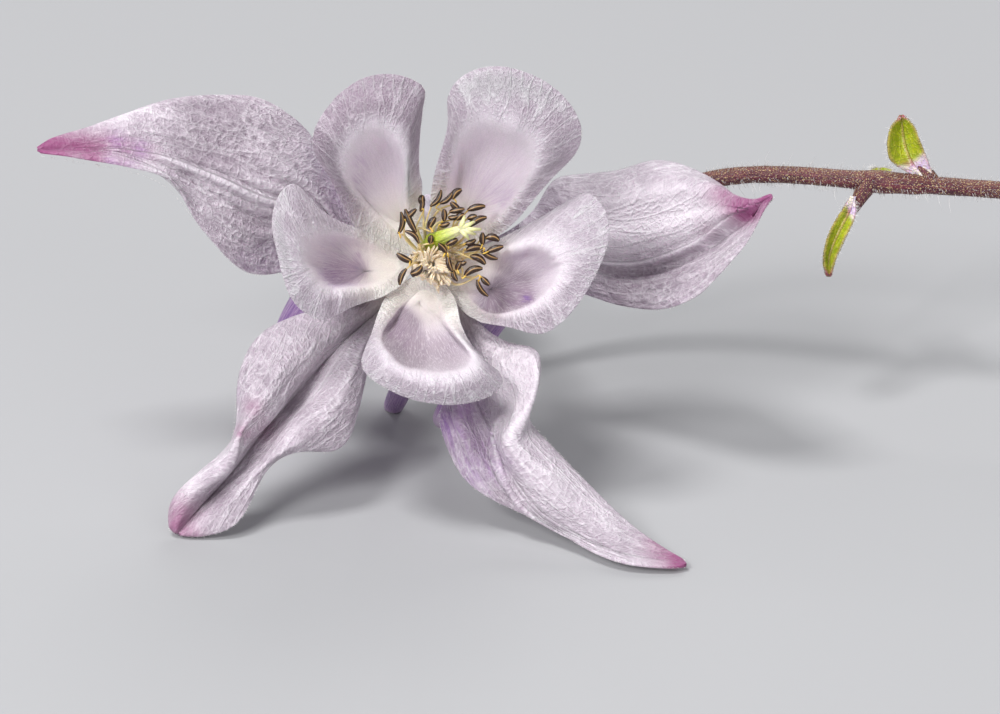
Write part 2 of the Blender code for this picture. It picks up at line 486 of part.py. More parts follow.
def pistil(collection, helpers):
    """The carpels in the middle of the column, with their curling styles."""
    obj = turned("pistil", collection, PISTIL, AXIS, 16)
    curls = []
    for path in STYLES:
        fine = spline(path, np.linspace(0, 1, 8))
        curls.append((fine, STYLE_RADIUS * np.linspace(1.1, 0.8, 8)))
    styles = rods("styles", helpers, curls, 2)
    hide(styles)
    boolean(obj, styles, "UNION")
    paint(obj, COLOURS["pistil"])
    return obj


def ground_cutter(helpers):
    """A block below the ground plane, which leaves small flats where the flower rests."""
    bpy.ops.mesh.primitive_cube_add(size=1, location=(0, 0, -0.01), scale=(0.12, 0.12, 0.02))
    block = bpy.context.object
    block.name = "ground_cutter"
    for old in list(block.users_collection):
        old.objects.unlink(block)
    helpers.objects.link(block)
    hide(block)
    return block


def build():
    """Builds every piece of the flower."""
    clear_scene()
    flower = new_collection(NAME)
    helpers = new_collection("helpers")
    middle = np.array(TOP_MIDLINE)
    half = np.array(TOP_HALF_WIDTH)[:, None]
    top = [middle + half * (u, -0.05 * u + 0.27 * abs(u) - 0.09, 0.12 * abs(u) - 0.04) for u in (-1, -0.5, 0, 0.5, 1)]
    pieces = {"sepal_top": blade("sepal_top", flower, top, SEPAL_GRID, COLOURS["sepal"])}
    for name, rails in SEPALS.items():
        pieces[name] = blade(name, flower, rails, SEPAL_GRID, COLOURS["sepal"])
    for name, shape in PETALS.items():
        pieces[name] = petal(name, flower, shape, COLOURS["petal"])
    for name, rails in BRACTS.items():
        blade(name, flower, rails, (8, 4), COLOURS["bract"])
    stem(flower, helpers)
    stamens(flower, helpers)
    pistil(flower, helpers)
    ground = ground_cutter(helpers)
    for name in ("sepal_lower_left", "sepal_lower_right", "petal_bottom"):
        boolean(pieces[name], ground, "DIFFERENCE")


build()
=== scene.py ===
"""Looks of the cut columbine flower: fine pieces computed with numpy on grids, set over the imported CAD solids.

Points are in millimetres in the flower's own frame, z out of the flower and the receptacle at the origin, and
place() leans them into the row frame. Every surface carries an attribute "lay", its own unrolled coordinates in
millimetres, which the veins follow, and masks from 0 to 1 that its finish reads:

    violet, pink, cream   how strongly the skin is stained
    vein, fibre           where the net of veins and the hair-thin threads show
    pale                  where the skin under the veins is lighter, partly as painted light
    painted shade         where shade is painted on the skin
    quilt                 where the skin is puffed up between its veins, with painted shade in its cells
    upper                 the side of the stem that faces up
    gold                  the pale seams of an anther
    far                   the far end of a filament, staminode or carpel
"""
import math

import bpy
import numpy as np
from mathutils import Matrix, Vector


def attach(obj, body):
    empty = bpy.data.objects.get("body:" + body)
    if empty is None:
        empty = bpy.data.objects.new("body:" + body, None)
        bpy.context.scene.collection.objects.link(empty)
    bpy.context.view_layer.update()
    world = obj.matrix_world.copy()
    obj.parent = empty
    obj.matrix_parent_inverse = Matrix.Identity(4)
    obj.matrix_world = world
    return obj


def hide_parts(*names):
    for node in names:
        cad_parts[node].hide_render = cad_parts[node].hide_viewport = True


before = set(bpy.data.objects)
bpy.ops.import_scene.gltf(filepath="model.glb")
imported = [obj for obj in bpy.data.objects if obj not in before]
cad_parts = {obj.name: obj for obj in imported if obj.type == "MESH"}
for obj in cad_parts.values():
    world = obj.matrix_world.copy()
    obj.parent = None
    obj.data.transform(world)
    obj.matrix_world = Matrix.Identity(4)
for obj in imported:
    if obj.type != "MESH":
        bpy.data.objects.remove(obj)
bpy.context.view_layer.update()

MM = 0.001
LEAN = math.radians(25)          # how far the flower's face leans back from upright
ROLL = math.radians(4.67)        # how far it is turned about the line of sight
SEAT = (-12.305, -4.538, 15.15)  # the receptacle's place in the row frame
EYE = (5.2555, -6.788, 489)      # the camera's place in the flower's frame
LENS = 241.2
SIDEWAYS = (0.3, 0.2, 1.0)       # a direction that no stalk or thread runs along

# Area lights: name, place in metres, size in metres and power in watts. Each one looks at the origin.
LIGHTS = (
    ("key_light", (-0.36, -0.60, 0.50), 0.22, 4.8),
    ("top_light", (-0.26, -0.16, 0.70), 0.18, 3.4),
    ("fill_light", (0.45, -0.60, 0.30), 0.50, 0.9),
    ("back_light", (0.15, 0.55, 0.45), 0.35, 1.6),
)
SURROUNDINGS = (0.80, 0.82, 0.86)
SURROUNDINGS_POWER = 0.38

# Rails of each sepal from one margin to the other, and along each rail points from claw to tip.
SEPALS = {
    "sepal_lower_left": (
        ((-1.9, -1.2, -1.4), (-4.4, -2.7, -0.3), (-8.9, -3.6, 2.6), (-12.3, -5.6, 6.2),
         (-13.6, -8.8, 7.6), (-14.0, -12.7, 8), (-15.6, -15.2, 8.3), (-18, -17.2, 9), (-18.4, -19.3, 9.6)),
        ((-1.8, -1.4, -1.4), (-4.1, -3.3, 0.2), (-7.1, -5.4, 3.8), (-9.8, -7.9, 7.8), (-11.8, -10.7, 9.6),
         (-13.3, -12.4, 10), (-14.1, -14.6, 9.6), (-16.4, -16.8, 9.6), (-18.1, -19.2, 9.9)),
        ((-1.6, -1.5, -1.6), (-3.9, -3.7, -0.2), (-6.4, -6, 2.2), (-8.8, -8.7, 4.6),
         (-11.5, -11.8, 6.4), (-13.2, -14, 7.4), (-14.7, -15.8, 7.9), (-16.3, -17.6, 8.4),
         (-17.8, -19.4, 9.5)),
        ((-1.5, -1.7, -1.4), (-3.6, -3.9, 0.4), (-5.3, -6.6, 3.4), (-6.7, -9.5, 6), (-8.5, -11.6, 7.4),
         (-10.7, -13.5, 8.2), (-12.9, -15.5, 8.6), (-15.1, -17.7, 9.2), (-17.3, -19.6, 9.8)),
        ((-1.3, -1.8, -1.4), (-3.5, -4.2, 0), (-4.1, -6.6, 2.4), (-4.8, -9.8, 4.4), (-6.3, -13.3, 6),
         (-9.4, -13.6, 7), (-11.8, -15.5, 8.2), (-13.6, -18.7, 9.3), (-16.9, -19.7, 9.6)),
    ),
    "sepal_lower_right": (
        ((1.8, -1.6, -1.6), (3.1, -3.6, -1.0), (5.6, -5.6, 1.4), (8, -6.7, 4.2), (7.4, -10.3, 5.6),
         (8.5, -12.6, 5.7), (12.5, -16.8, 6.6), (15.9, -19.8, 7.4), (18.8, -21.5, 8)),
        ((1.5, -1.8, -1.4), (2.6, -4.1, -0.8), (4.5, -6.3, 2.2), (7.1, -7.3, 5.4), (7.0, -10.7, 7.0),
         (6.3, -13.6, 7.6), (10.6, -17.6, 7.8), (14, -20.6, 8.2), (18.7, -21.6, 8.2)),
        ((1.3, -1.9, -1.6), (2, -4.4, -1.4), (3.3, -7.1, 1), (3.6, -9.5, 3.6), (4.7, -12.0, 5),
         (5.8, -14.2, 6.3), (9.0, -18.0, 7.2), (13.7, -20.8, 8.1), (18.6, -21.7, 8.5)),
        ((1.2, -2, -1.4), (2, -4.6, -1.2), (2.8, -7.7, 1.1), (2.3, -10.1, 4.6), (3.1, -12.9, 6.2),
         (4.7, -15.2, 6.5), (8.5, -18.4, 6.8), (13.4, -21.1, 8.7), (18.5, -21.8, 8.6)),
        ((1, -2, -1.6), (1.9, -4.8, -1.5), (2.3, -8.2, -0.2), (0.9, -10.8, 3.2), (1.6, -13.5, 5),
         (3.5, -16.3, 6), (8.1, -18.7, 6.5), (13.3, -21.3, 9.2), (18.5, -21.9, 8.8)),
    ),
    "sepal_right": (
        ((1.7, 1.3, -1.6), (4.1, 1.6, -3), (7.6, 3.8, -4.9), (9.4, 6.3, -5), (12.9, 6.9, -5.4),
         (16.8, 7.6, -5), (20, 6.8, -4), (21.7, 5.5, -2.4), (23.2, 4.5, -0.4), (25, 5.1, 1.6)),
        ((1.8, 1.2, -1.4), (4.2, 1.4, -2.7), (7.8, 2.9, -4.1), (10.4, 4.4, -2.8), (13.5, 4.7, -2.6),
         (17, 5.3, -2.4), (19.9, 5.3, -1.8), (21.9, 4.7, -0.8), (23.5, 4.4, 0.6), (25, 5, 1.8)),
        ((1.9, 1, -1.6), (4.2, 1.1, -3.1), (8.4, 1.5, -4.7), (11.9, 0.9, -4.6), (15.1, 0.7, -4.6),
         (18.2, 1.4, -3.6), (20.5, 2.2, -2.2), (22.3, 3.4, -0.6), (23.8, 4.2, 0.6), (25, 4.9, 1.6)),
        ((2, 0.9, -1.4), (4.3, 0.9, -2.8), (8.6, 0.1, -4.4), (12.5, -0.8, -4.8), (15.6, -1.1, -4.4),
         (18.5, -0.4, -2.8), (20.9, 1, -0.8), (22.5, 2.5, 0.6), (23.9, 3.8, 1.4), (25.1, 4.8, 2)),
        ((2, 0.8, -1.6), (4.4, 0.7, -3.2), (8.8, -1.1, -5.2), (12.3, -2.4, -5.8), (16.3, -3.3, -3.6),
         (19.4, -2.4, -0.6), (21.7, -0.3, 1.2), (23.3, 1.7, 1.8), (24.4, 3.8, 2), (25.2, 4.8, 2)),
    ),
    "sepal_upper_left": (
        ((-1.9, 1.3, -1.6), (-3.6, 1.9, -1.8), (-5.1, 3.2, -1.8), (-7.2, 7, 0.0), (-9.1, 9.9, 1.5),
         (-12, 11.9, 2.6), (-15.6, 12, 3.8), (-19.6, 11, 5.4), (-23.5, 9.3, 6.8), (-27.9, 8.4, 8.4)),
        ((-2, 1.1, -1.4), (-3.8, 1.5, -1.5), (-5.8, 2.2, -1.6), (-8, 5.5, 1.4), (-10.7, 7.5, 3.6),
         (-13.5, 9.1, 4.4), (-16.7, 9.7, 5.4), (-20.2, 9.8, 6.6), (-23.6, 8.9, 7.6), (-27.9, 8.3, 8.6)),
        ((-2.1, 1, -1.6), (-3.9, 1.3, -1.9), (-5.9, 2, -2), (-8.5, 4.1, 0.8), (-11.6, 4.9, 3.2),
         (-14.4, 6, 4.6), (-17.2, 7, 5.8), (-20.4, 8, 7), (-23.8, 8.2, 7.8), (-27.9, 8.1, 8.6)),
        ((-2.1, 0.8, -1.4), (-4, 1, -1.6), (-6, 1.8, -1.8), (-9, 2.6, 0.8), (-12.3, 2.3, 3),
         (-14.7, 3.7, 4.4), (-17.1, 5.3, 5.8), (-20.2, 6.9, 7.2), (-23.7, 7.8, 8), (-27.9, 7.9, 8.7)),
        ((-2.2, 0.7, -1.6), (-4.1, 0.8, -2), (-6.6, 0.9, -1.9), (-10.3, -0.5, 0.4), (-12.9, -0.7, 2.2),
         (-14.6, 0.5, 4), (-16.8, 3.1, 5.6), (-19.2, 5.7, 7.2), (-23.2, 6.9, 8.2), (-27.6, 7.6, 8.8)),
    ),
}

# The fifth sepal bends straight back: its middle line, and half its width at each point.
TOP_MIDLINE = (
    (-0.1, 2, -1.6), (0.2, 3.6, -2.8), (0.2, 4.4, -5.2), (0.1, 5, -9), (-0.5, 5.2, -13.6),
    (-1.2, 5.2, -18), (-1.8, 5, -22), (-2.4, 4.6, -25), (-2.9, 4.4, -27.6),
)
TOP_HALF_WIDTH = (0.4, 0.5, 0.7, 1.7, 4.2, 5.2, 4.0, 2.0, 0.3)

# Each petal: the rim of its lip and the crest inside it, both from the claw round by the left margin, then the
# spur as centres and radii.
PETALS = {
    "petal_bottom": dict(
        rim=((-0.3, -0.9, 0.9), (-2.5, -1.8, 1.7), (-3.5, -3.4, 3.9), (-4.2, -5.6, 6.6),
             (-4.6, -7.6, 8.8), (-2.6, -9.2, 10.2), (0.4, -10.1, 10.8), (3.8, -9.9, 10.2),
             (5.5, -8.4, 8.8), (3.8, -6.6, 6.6), (2.4, -4.3, 3.9), (1.8, -2.2, 2.0)),
        crest=((-0.2, -1.8, 0.4), (-1.6, -2.5, 1.1), (-2.7, -3.9, 3.4), (-3.4, -5.3, 6.1),
               (-3, -6.5, 8.8), (-1.7, -7.6, 10.2), (0.5, -8.2, 10.6), (2.7, -7.9, 10.2),
               (3.4, -6.9, 8.8), (2.5, -5.6, 6.1), (1.6, -4.3, 3.4), (1.0, -2.7, 1.1)),
        spur=((-0.3, -5.4, 2.4, 2.6), (-0.8, -6.1, -0.2, 1.9), (-1.3, -7.2, -3.4, 1.3),
              (-1.8, -8.5, -6.8, 0.9), (-2.3, -9.6, -9.8, 0.6), (-2.7, -10.4, -12.2, 0.4)),
    ),
    "petal_right": dict(
        rim=((1.1, -0.3, 0.9), (1.5, -2.1, 1.1), (3.5, -4.1, 2.2), (6.2, -4.7, 4.2), (8.6, -5, 6.2),
             (10.9, -2.9, 7.6), (12.5, -0.1, 8), (13.1, 2.7, 7.6), (11.7, 4.9, 6.6), (9, 3.7, 4.6),
             (5.4, 1.9, 2.7), (3.0, 0.9, 1.5)),
        crest=((2.0, -0.6, 0.4), (2.6, -2.2, 0.8), (4.2, -3.7, 1.5), (6.1, -3.7, 3.7), (7.9, -3, 6),
               (9.3, -1.7, 7.2), (9.9, -0.2, 7.6), (9.3, 0.9, 7.2), (8, 1.5, 6), (6.1, 1.1, 4),
               (4.6, 0.9, 1.9), (3.0, 0.3, 0.9)),
        spur=((5.8, -1.5, 1.2, 2.6), (5.3, -2.3, -1, 1.9), (4.2, -4.3, -3, 1.2), (3, -6.8, -4.9, 0.9),
              (2, -9.2, -6.4, 0.6), (1.1, -11.3, -7.4, 0.5)),
    ),
    "petal_upper_right": dict(
        rim=((0.8, 0.9, 0.9), (0.15, 3.3, 2.1), (0.6, 6.8, 4.8), (1.5, 9.7, 7.4), (1.7, 12.2, 9.4),
             (4, 13.9, 10.4), (7.5, 13.4, 10.2), (10.3, 11.3, 9.4), (11, 8.4, 8), (8.7, 5.7, 6),
             (5.9, 2.6, 3.2), (2.8, 1.0, 1.5)),
        crest=((1.3, 1.7, 0.4), (0.9, 3.8, 1.7), (1.6, 6.6, 4.3), (2.1, 8.5, 6.8), (3, 9.6, 8.8),
               (4.5, 10.2, 9.8), (6.4, 9.7, 9.6), (7.7, 8.8, 8.8), (7.8, 7.2, 7.4), (6.8, 5.3, 5.2),
               (5, 3.1, 2.7), (2.8, 1.8, 0.9)),
        spur=((4.1, 5.4, 1.2, 2.7), (4.3, 4.7, -1.6, 1.9), (4.6, 4.3, -4.4, 1.3), (4.9, 4, -7.4, 0.9),
              (5.1, 3.8, -10.4, 0.6), (5.1, 3.5, -12.8, 0.4)),
    ),
    "petal_upper_left": dict(
        rim=((-0.8, 0.8, 0.9), (-2.9, 1.1, 1.3), (-5.2, 2.5, 2.4), (-7, 6.1, 6), (-8.2, 8.8, 8.6),
             (-6.3, 11.9, 10.2), (-3.2, 13.4, 10.6), (-0.3, 12.6, 10), (-0.3, 10.5, 8.6),
             (-0.6, 7.4, 6.2), (-0.35, 4.7, 3.4), (-0.2, 2.3, 1.6)),
        crest=((-1.3, 1.8, 0.4), (-2.9, 2.5, 1.0), (-4.5, 4.2, 2.2), (-5.7, 5.8, 5.5), (-5.9, 7.3, 8.2),
               (-5.2, 8.9, 9.8), (-3.5, 9.9, 10.2), (-2, 9, 9.6), (-1.5, 7.5, 8.2), (-1.5, 5.7, 5.7),
               (-1.3, 4.0, 2.7), (-0.8, 2.6, 1.1)),
        spur=((-3.2, 5.4, 1.4, 2.7), (-3.6, 4.6, -1.4, 1.9), (-4.2, 3.9, -4.2, 1.3),
              (-4.7, 3.3, -7.2, 0.9), (-5.2, 2.7, -10, 0.6), (-5.6, 2.2, -12.2, 0.4)),
    ),
    "petal_left": dict(
        rim=((-1.2, 0, 0.9), (-2.8, 1.4, 1.8), (-5.0, 2.5, 4.0), (-7.7, 3.9, 6.8), (-9.7, 5.6, 8.6),
             (-11, 3.4, 10.2), (-10.6, 0.4, 10.8), (-9.6, -2.7, 10.2), (-7.5, -4.1, 9), (-5.8, -3.3, 7),
             (-3.7, -2.6, 3.7), (-2.1, -1.7, 2.2)),
        crest=((-2.0, 0, 0.4), (-3.1, 0.9, 1.3), (-5.0, 1.8, 3.6), (-7.1, 2.2, 6.3), (-8.4, 1.9, 8.4),
               (-8.8, 1, 9.6), (-8.8, 0, 9.9), (-8.2, -1.1, 9.6), (-7.2, -2, 8.4), (-5.7, -2, 6.4),
               (-3.9, -1.8, 3.1), (-2.5, -1.0, 1.1)),
        spur=((-5.7, -0.3, 1.4, 2.5), (-6.9, -1.2, -0.8, 1.9), (-8.5, -2.6, -2.8, 1.4),
              (-9.9, -4.2, -5, 1), (-11.1, -6.1, -7.2, 0.7), (-12.1, -7.9, -9, 0.5)),
    ),
}

STEM_PATH = (
    (0, -0.1, -1.6), (0, -0.7, -3.9), (0.3, -2.7, -7.3), (1.3, -4.3, -11.1), (3.5, -3.9, -15),
    (8, -0.7, -17.9), (14.5, 4.1, -19), (23, 6.9, -17.7), (32.9, 6.5, -16.2), (44.1, 5.7, -16.2),
    (53.6, 4.5, -15.2),
)

# Bracts as rails, and the short stalk that carries each one from the stem.
BRACTS = {
    "bract_upper": (
        ((36.2, 7.2, -15.9), (34.9, 7.8, -15.5), (34.4, 8.8, -15.2), (34.6, 10.3, -15.4), (35.4, 11.3, -15.9)),
        ((37.1, 6.8, -16.0), (36.3, 7.8, -16.4), (35.8, 9.2, -16.7), (35.6, 10.4, -16.6), (35.5, 11.4, -16.1)),
        ((37.9, 6.9, -15.9), (37.4, 8.2, -15.6), (36.9, 9.4, -15.4), (36.4, 10.6, -15.5), (35.7, 11.4, -15.9)),
    ),
    "bract_lower": (
        ((31.65, 5.3, -15.5), (30.95, 4.2, -15.0), (30, 2.5, -14.2), (29.5, 0.7, -13.6), (29.7, -0.6, -13.4)),
        ((31.85, 5.3, -15.4), (31.5, 4.1, -15.5), (30.7, 2.5, -15), (30, 0.7, -14.4), (29.9, -0.7, -13.7)),
        ((32.0, 5.3, -15.5), (32, 3.9, -15.1), (31.3, 2.4, -14.2), (30.5, 0.7, -13.6), (30.1, -0.7, -13.4)),
    ),
    "bract_small": (
        ((33.9, 6.9, -18.0), (33.4, 7.3, -18.9), (33.6, 7.5, -20.0), (34.0, 7.6, -20.9)),
        ((34.2, 6.6, -18.1), (34.2, 6.9, -19.1), (34.2, 7.1, -20.1), (34.2, 7.5, -21.0)),
        ((34.5, 6.9, -18.0), (35.0, 7.3, -18.9), (34.8, 7.5, -20.0), (34.4, 7.6, -20.9)),
    ),
}
BRACT_STALKS = (
    ((38.0, 5.9, -16.3, 0.72), (37.6, 6.7, -16.3, 0.66), (37.1, 7.4, -16.4, 0.5), (36.6, 8.0, -16.7, 0.25)),
    ((33.2, 6.7, -16.2, 0.95), (32.7, 5.8, -16.1, 0.70), (32.2, 4.9, -16.0, 0.50), (31.8, 4.0, -15.9, 0.28)),
    ((34.2, 6.5, -16.4, 0.5), (34.2, 6.6, -17.0, 0.45), (34.2, 6.7, -18.0, 0.4), (34.2, 6.8, -18.5, 0.3)),
)

# Near and far end of each anther, seen from the front.
ANTHERS = (
    (-2.1, 2.1, -1.9, 3.7), (-1.8, 3, -0.8, 3.9), (-0.8, 2.2, -1.6, 3.9), (-0.6, 1.4, -1.6, 2.3),
    (-0.5, 3.7, -0.5, 4.9), (-0.3, 4.2, -0.3, 4.9), (0.2, 4.1, 1, 5.3), (0.9, 4.3, 1.8, 5.1),
    (1.8, 4.6, 2.5, 5.3), (2.4, 3.8, 1.7, 4.4), (1.2, 3, 1.2, 3.9), (1.6, 3.7, 2.7, 3.9),
    (0.1, 2.5, 0.6, 3.3), (0.9, 2.7, 1.6, 2.9), (1.5, 3.3, 2.2, 3.4), (2.1, 3.1, 2.7, 3.5),
    (2.9, 3.8, 4.2, 4.1), (2.9, 3.2, 3.6, 3.4), (3, 2.6, 4.3, 3.3), (4, 1.3, 4, 2.2),
    (4.2, 1.8, 5.2, 1.6), (2.7, 1.4, 3.5, 1.7), (1.4, 1.3, 2.2, 1.7), (0.2, 1.4, 0.3, 2),
    (1.4, 0.7, 0.8, 1.4), (4.3, 0.8, 5.5, 1.2), (3.9, 0.9, 5.1, 0.3), (2.8, 0.9, 4, 1.1),
    (3.1, 0.5, 4.2, -0.1), (2.3, 0, 2.8, 0.1), (2.1, -0.5, 2.4, 0.1), (1.5, 0.5, 1.8, -0.6),
    (1.9, -0.5, 2.2, -1.3), (2.7, -0.9, 4, -0.4), (3.9, -1, 4.5, -1.6), (3.6, -1.2, 4.4, -2.4),
    (-1.1, 0.1, -2.2, 0.7), (-1.5, -0.4, -2, -1.6), (-0.4, -0.2, -1.2, -0.8),
)

# The middle line of the fused carpels, seen from the front, and the way each stigma hooks out at its end
HEART = ((0.3, 1.2, 0.8), (0.3, 1.45, 2.8), (0.65, 1.7, 4.4), (1.6, 2.1, 5.6), (2.5, 2.45, 6.2))
HOOKS = ((0.3, 0.95), (1.45, 0.0), (0.6, -0.7), (1.0, 0.55), (1.05, -0.35))

CARPELS = len(HOOKS)
CARPEL_RADIUS = 0.42
CARPEL_GAP = 0.38                # from the middle line to the middle of each carpel, at the foot
STIGMA_RADIUS = 0.20
STIGMA_CURL = 0.55

# The line that stamens, staminodes and their column stand round, and the column's radii from foot to top
AXIS = (0.17, 0.03, 0.985)
COLUMN_RADII = (1.35, 1.2, 1.0, 0.7, 0.3)

ANTHER_HEIGHT = 5.6              # over the receptacle, at the middle of the bunch
ANTHER_MIDDLE = (1.5, 1.9)
ANTHER_RADIUS = 0.17             # of the thinnest one
ANTHER_SPREAD = 0.08             # how much thicker the thickest one is

# Staminodes, row by row: how many, height of the foot, rise, reach, droop, distance of the foot from the axis, seed
STAMINODES = {
    "staminodes_outer": (44, 1.0, 2.9, 1.2, 0.8, 0.55, 13),
    "staminodes_middle": (34, 1.5, 2.8, 0.95, 0.5, 0.35, 33),
    "staminodes_inner": (24, 1.8, 3.0, 0.6, 0.2, 0.05, 23),
}
STAMINODE_RADIUS = 0.38
STAMINODE_FLATNESS = 0.38        # thickness over width
STAMINODE_CRUMPLE = 0.8          # how far noise pushes a staminode's end about

STEM_RADIUS = 0.65
STEM_NODES = ((34.0, 1.6, 0.22), (36.4, 0.9, 0.12))     # place from left to right, width and swelling
NECK_RADII = (0.62, 0.75, 1.05, 1.2, 1.28, 1.32, 1.5, 1.1)

# Down and hairs: how many on a piece, and their length
STEM_HAIRS = 5200
SEPAL_DOWN = (420, 0.13)
BRACT_HAIRS = (220, 0.34)
PETAL_DOWN = (220, 0.07)

# The radius of a hair at its root, and the shares of it at root, middle and tip
STEM_HAIR_RADIUS, STEM_HAIR_TAPER = 0.016, (1.0, 0.75, 0.25)
DOWN_RADIUS, DOWN_TAPER = 0.018, (1.0, 0.75, 0.3)

# Violet and pink spots on a sepal: place seen from the front, radius and strength
SEPAL_VIOLET = {
    "sepal_lower_left": ((-4.6, -6.0, 1.6, 0.10), (-14.0, -9.5, 0.8, 0.25)),
    "sepal_lower_right": ((1.4, -11.6, 1.8, 0.8), (3.2, -14.6, 2.4, 0.55), (3.0, -9.6, 2.0, 0.3)),
    "sepal_right": ((12.0, -2.6, 1.6, 0.15), (18.5, -2.6, 2.0, 0.12)),
    "sepal_upper_left": (
        (-20.6, 8.1, 0.8, 0.4), (-22.4, 8.5, 0.8, 0.5), (-21.4, 6.4, 0.8, 0.45), (-22.8, 6.9, 0.7, 0.4),
        (-12.5, 0.5, 1.6, 0.2), (-7.6, 8.0, 1.8, 0.16),
    ),
    "sepal_top": ((0.0, 5.0, 3.0, 0.2),),
}
SEPAL_PINK = {
    "sepal_lower_left": (
        (-12.4, -10.4, 0.7, 0.45), (-13.2, -12.2, 0.6, 0.5), (-11.6, -12.0, 0.9, 0.4), (-17.6, -18.0, 1.3, 0.7),
    ),
    "sepal_lower_right": (
        (16.9, -20.3, 1.3, 0.8), (18.6, -21.4, 1.2, 0.9), (13.3, -16.9, 0.4, 0.3), (11.6, -15.4, 0.3, 0.3),
    ),
    "sepal_right": (
        (21.3, 5.2, 1.0, 0.6), (22.7, 4.2, 1.2, 0.9), (24.8, 4.9, 1.2, 1.0), (23.6, 3.6, 0.8, 0.8),
        (20.4, 2.6, 0.6, 0.3),
    ),
    "sepal_upper_left": (
        (-27.8, 8.1, 1.2, 0.8), (-26.0, 8.2, 1.3, 0.8), (-24.6, 8.3, 1.0, 0.7), (-23.2, 8.5, 0.9, 0.6),
        (-21.6, 8.2, 0.9, 0.45), (-20.0, 7.9, 0.8, 0.25), (-23.8, 7.1, 0.9, 0.8), (-22.0, 6.5, 0.7, 0.4),
    ),
    "sepal_top": (),
}

# Painted light where a sepal is made paler, and below zero painted shade where it is made darker: place seen from
# the front, radius and amount
SEPAL_LIGHT_AND_SHADE = {
    "sepal_lower_left": (
        (-15.0, -16.9, 1.4, -1.1), (-12.4, -14.2, 1.0, -0.6), (-17.0, -15.4, 1.0, 0.8), (-15.0, -13.2, 0.9, 0.8),
        (-9.5, -10.3, 0.8, -0.5), (-11.8, -8.2, 2.0, -0.6), (-7.6, -11.0, 2.2, -0.4),
    ),
    "sepal_lower_right": (
        (5.8, -8.5, 2.0, 1.0), (5.8, -11.5, 1.3, 1.0), (9.5, -16.0, 1.6, 0.5), (12.0, -18.0, 1.4, 0.3),
        (2.6, -13.2, 1.7, -0.7), (5.4, -16.6, 1.3, -0.5),
    ),
    "sepal_right": (
        (14.5, 2.6, 2.0, 0.9), (18.0, 3.6, 2.0, 0.9), (21.0, 4.0, 1.2, 0.6), (14.5, -2.0, 2.2, -0.8),
        (18.8, -1.2, 2.2, -0.8), (21.5, 1.4, 1.0, -0.5), (9.5, 4.5, 2.0, -0.5), (12.5, 6.0, 1.2, -0.4),
    ),
    "sepal_upper_left": (
        (-15.4, 9.1, 3.4, -1.5), (-21.8, 10.0, 0.9, 0.35), (-12.8, 2.6, 2.0, -0.8), (-8.3, 7.5, 1.8, 0.5),
        (-19.5, 6.9, 1.3, 0.7), (-16.0, 5.9, 1.3, 0.8), (-12.5, 5.0, 1.3, 0.8), (-18.6, 10.3, 1.0, 0.6),
        (-10.5, 9.5, 1.5, -0.4),
    ),
    "sepal_top": (),
}

# Folds: "ridge" or "step" (high on the first margin's side), its place across from -1 to 1, its width, its height in
# millimetres, where it starts and ends from claw to tip, and how far its place would drift from claw to tip
SEPAL_FOLDS = {
    "sepal_lower_left": (
        ("ridge", -0.30, 0.10, 0.50, 0.25, 0.72), ("step", -0.12, 0.10, -0.30, 0.15, 0.70),
        ("ridge", -0.85, 0.22, 0.60, 0.62, 0.99), ("ridge", 0.45, 0.20, 0.25, 0.10, 0.6),
        ("ridge", 0.0, 0.06, -0.25, 0.05, 0.95),
    ),
    "sepal_lower_right": (
        ("step", -0.35, 0.05, 0.8, 0.42, 0.86, 3.6), ("ridge", -0.40, 0.06, 0.25, 0.42, 0.86, 3.6),
        ("ridge", 0.55, 0.10, 0.20, 0.25, 0.7),
    ),
    "sepal_right": (
        ("step", 0.12, 0.05, 1.30, 0.22, 0.97), ("ridge", -0.20, 0.10, 0.35, 0.15, 0.9),
        ("ridge", -0.52, 0.10, 0.30, 0.2, 0.8),
    ),
    "sepal_upper_left": (
        ("ridge", 0.05, 0.06, 0.75, 0.15, 0.80), ("ridge", 0.22, 0.05, 0.35, 0.15, 0.65),
        ("ridge", -0.14, 0.05, 0.35, 0.2, 0.7), ("ridge", -0.40, 0.07, 0.25, 0.2, 0.6),
        ("ridge", 0.50, 0.08, 0.25, 0.2, 0.6), ("ridge", -0.95, 0.32, 0.65, 0.60, 1.1),
        ("ridge", 0.95, 0.32, 0.75, 0.62, 1.1),
    ),
    "sepal_top": (("ridge", 0.0, 0.08, 0.3, 0.2, 0.9),),
}

# Where a sepal is quilted between its veins: place along and across, reach along and across
SEPAL_QUILTS = {
    "sepal_lower_left": ((0.42, -0.75, 0.10, 0.25),),
    "sepal_lower_right": ((0.42, 0.75, 0.20, 0.30), (0.28, -0.6, 0.14, 0.4)),
    "sepal_right": ((0.50, 0.70, 0.26, 0.40), (0.32, -0.80, 0.12, 0.30)),
    "sepal_upper_left": ((0.52, -0.55, 0.17, 0.40), (0.40, 0.70, 0.14, 0.30), (0.62, 0.3, 0.12, 0.25)),
    "sepal_top": ((0.6, 0.0, 0.3, 0.8),),
}

# Pale lengthwise veins: place across, and where each one ends
SEPAL_VEINS = {
    "sepal_lower_left": ((-0.22, 0.75), (0.0, 0.9), (0.3, 0.6), (-0.55, 0.5), (0.6, 0.5)),
    "sepal_lower_right": ((0.08, 0.9), (-0.3, 0.8), (0.45, 0.6), (-0.65, 0.7)),
    "sepal_right": ((0.05, 0.95), (-0.12, 0.85), (-0.3, 0.8), (-0.5, 0.7), (0.45, 0.6)),
    "sepal_upper_left": ((0.05, 0.9), (0.18, 0.75), (-0.1, 0.7), (-0.35, 0.6), (0.5, 0.6)),
    "sepal_top": ((0.0, 0.9),),
}

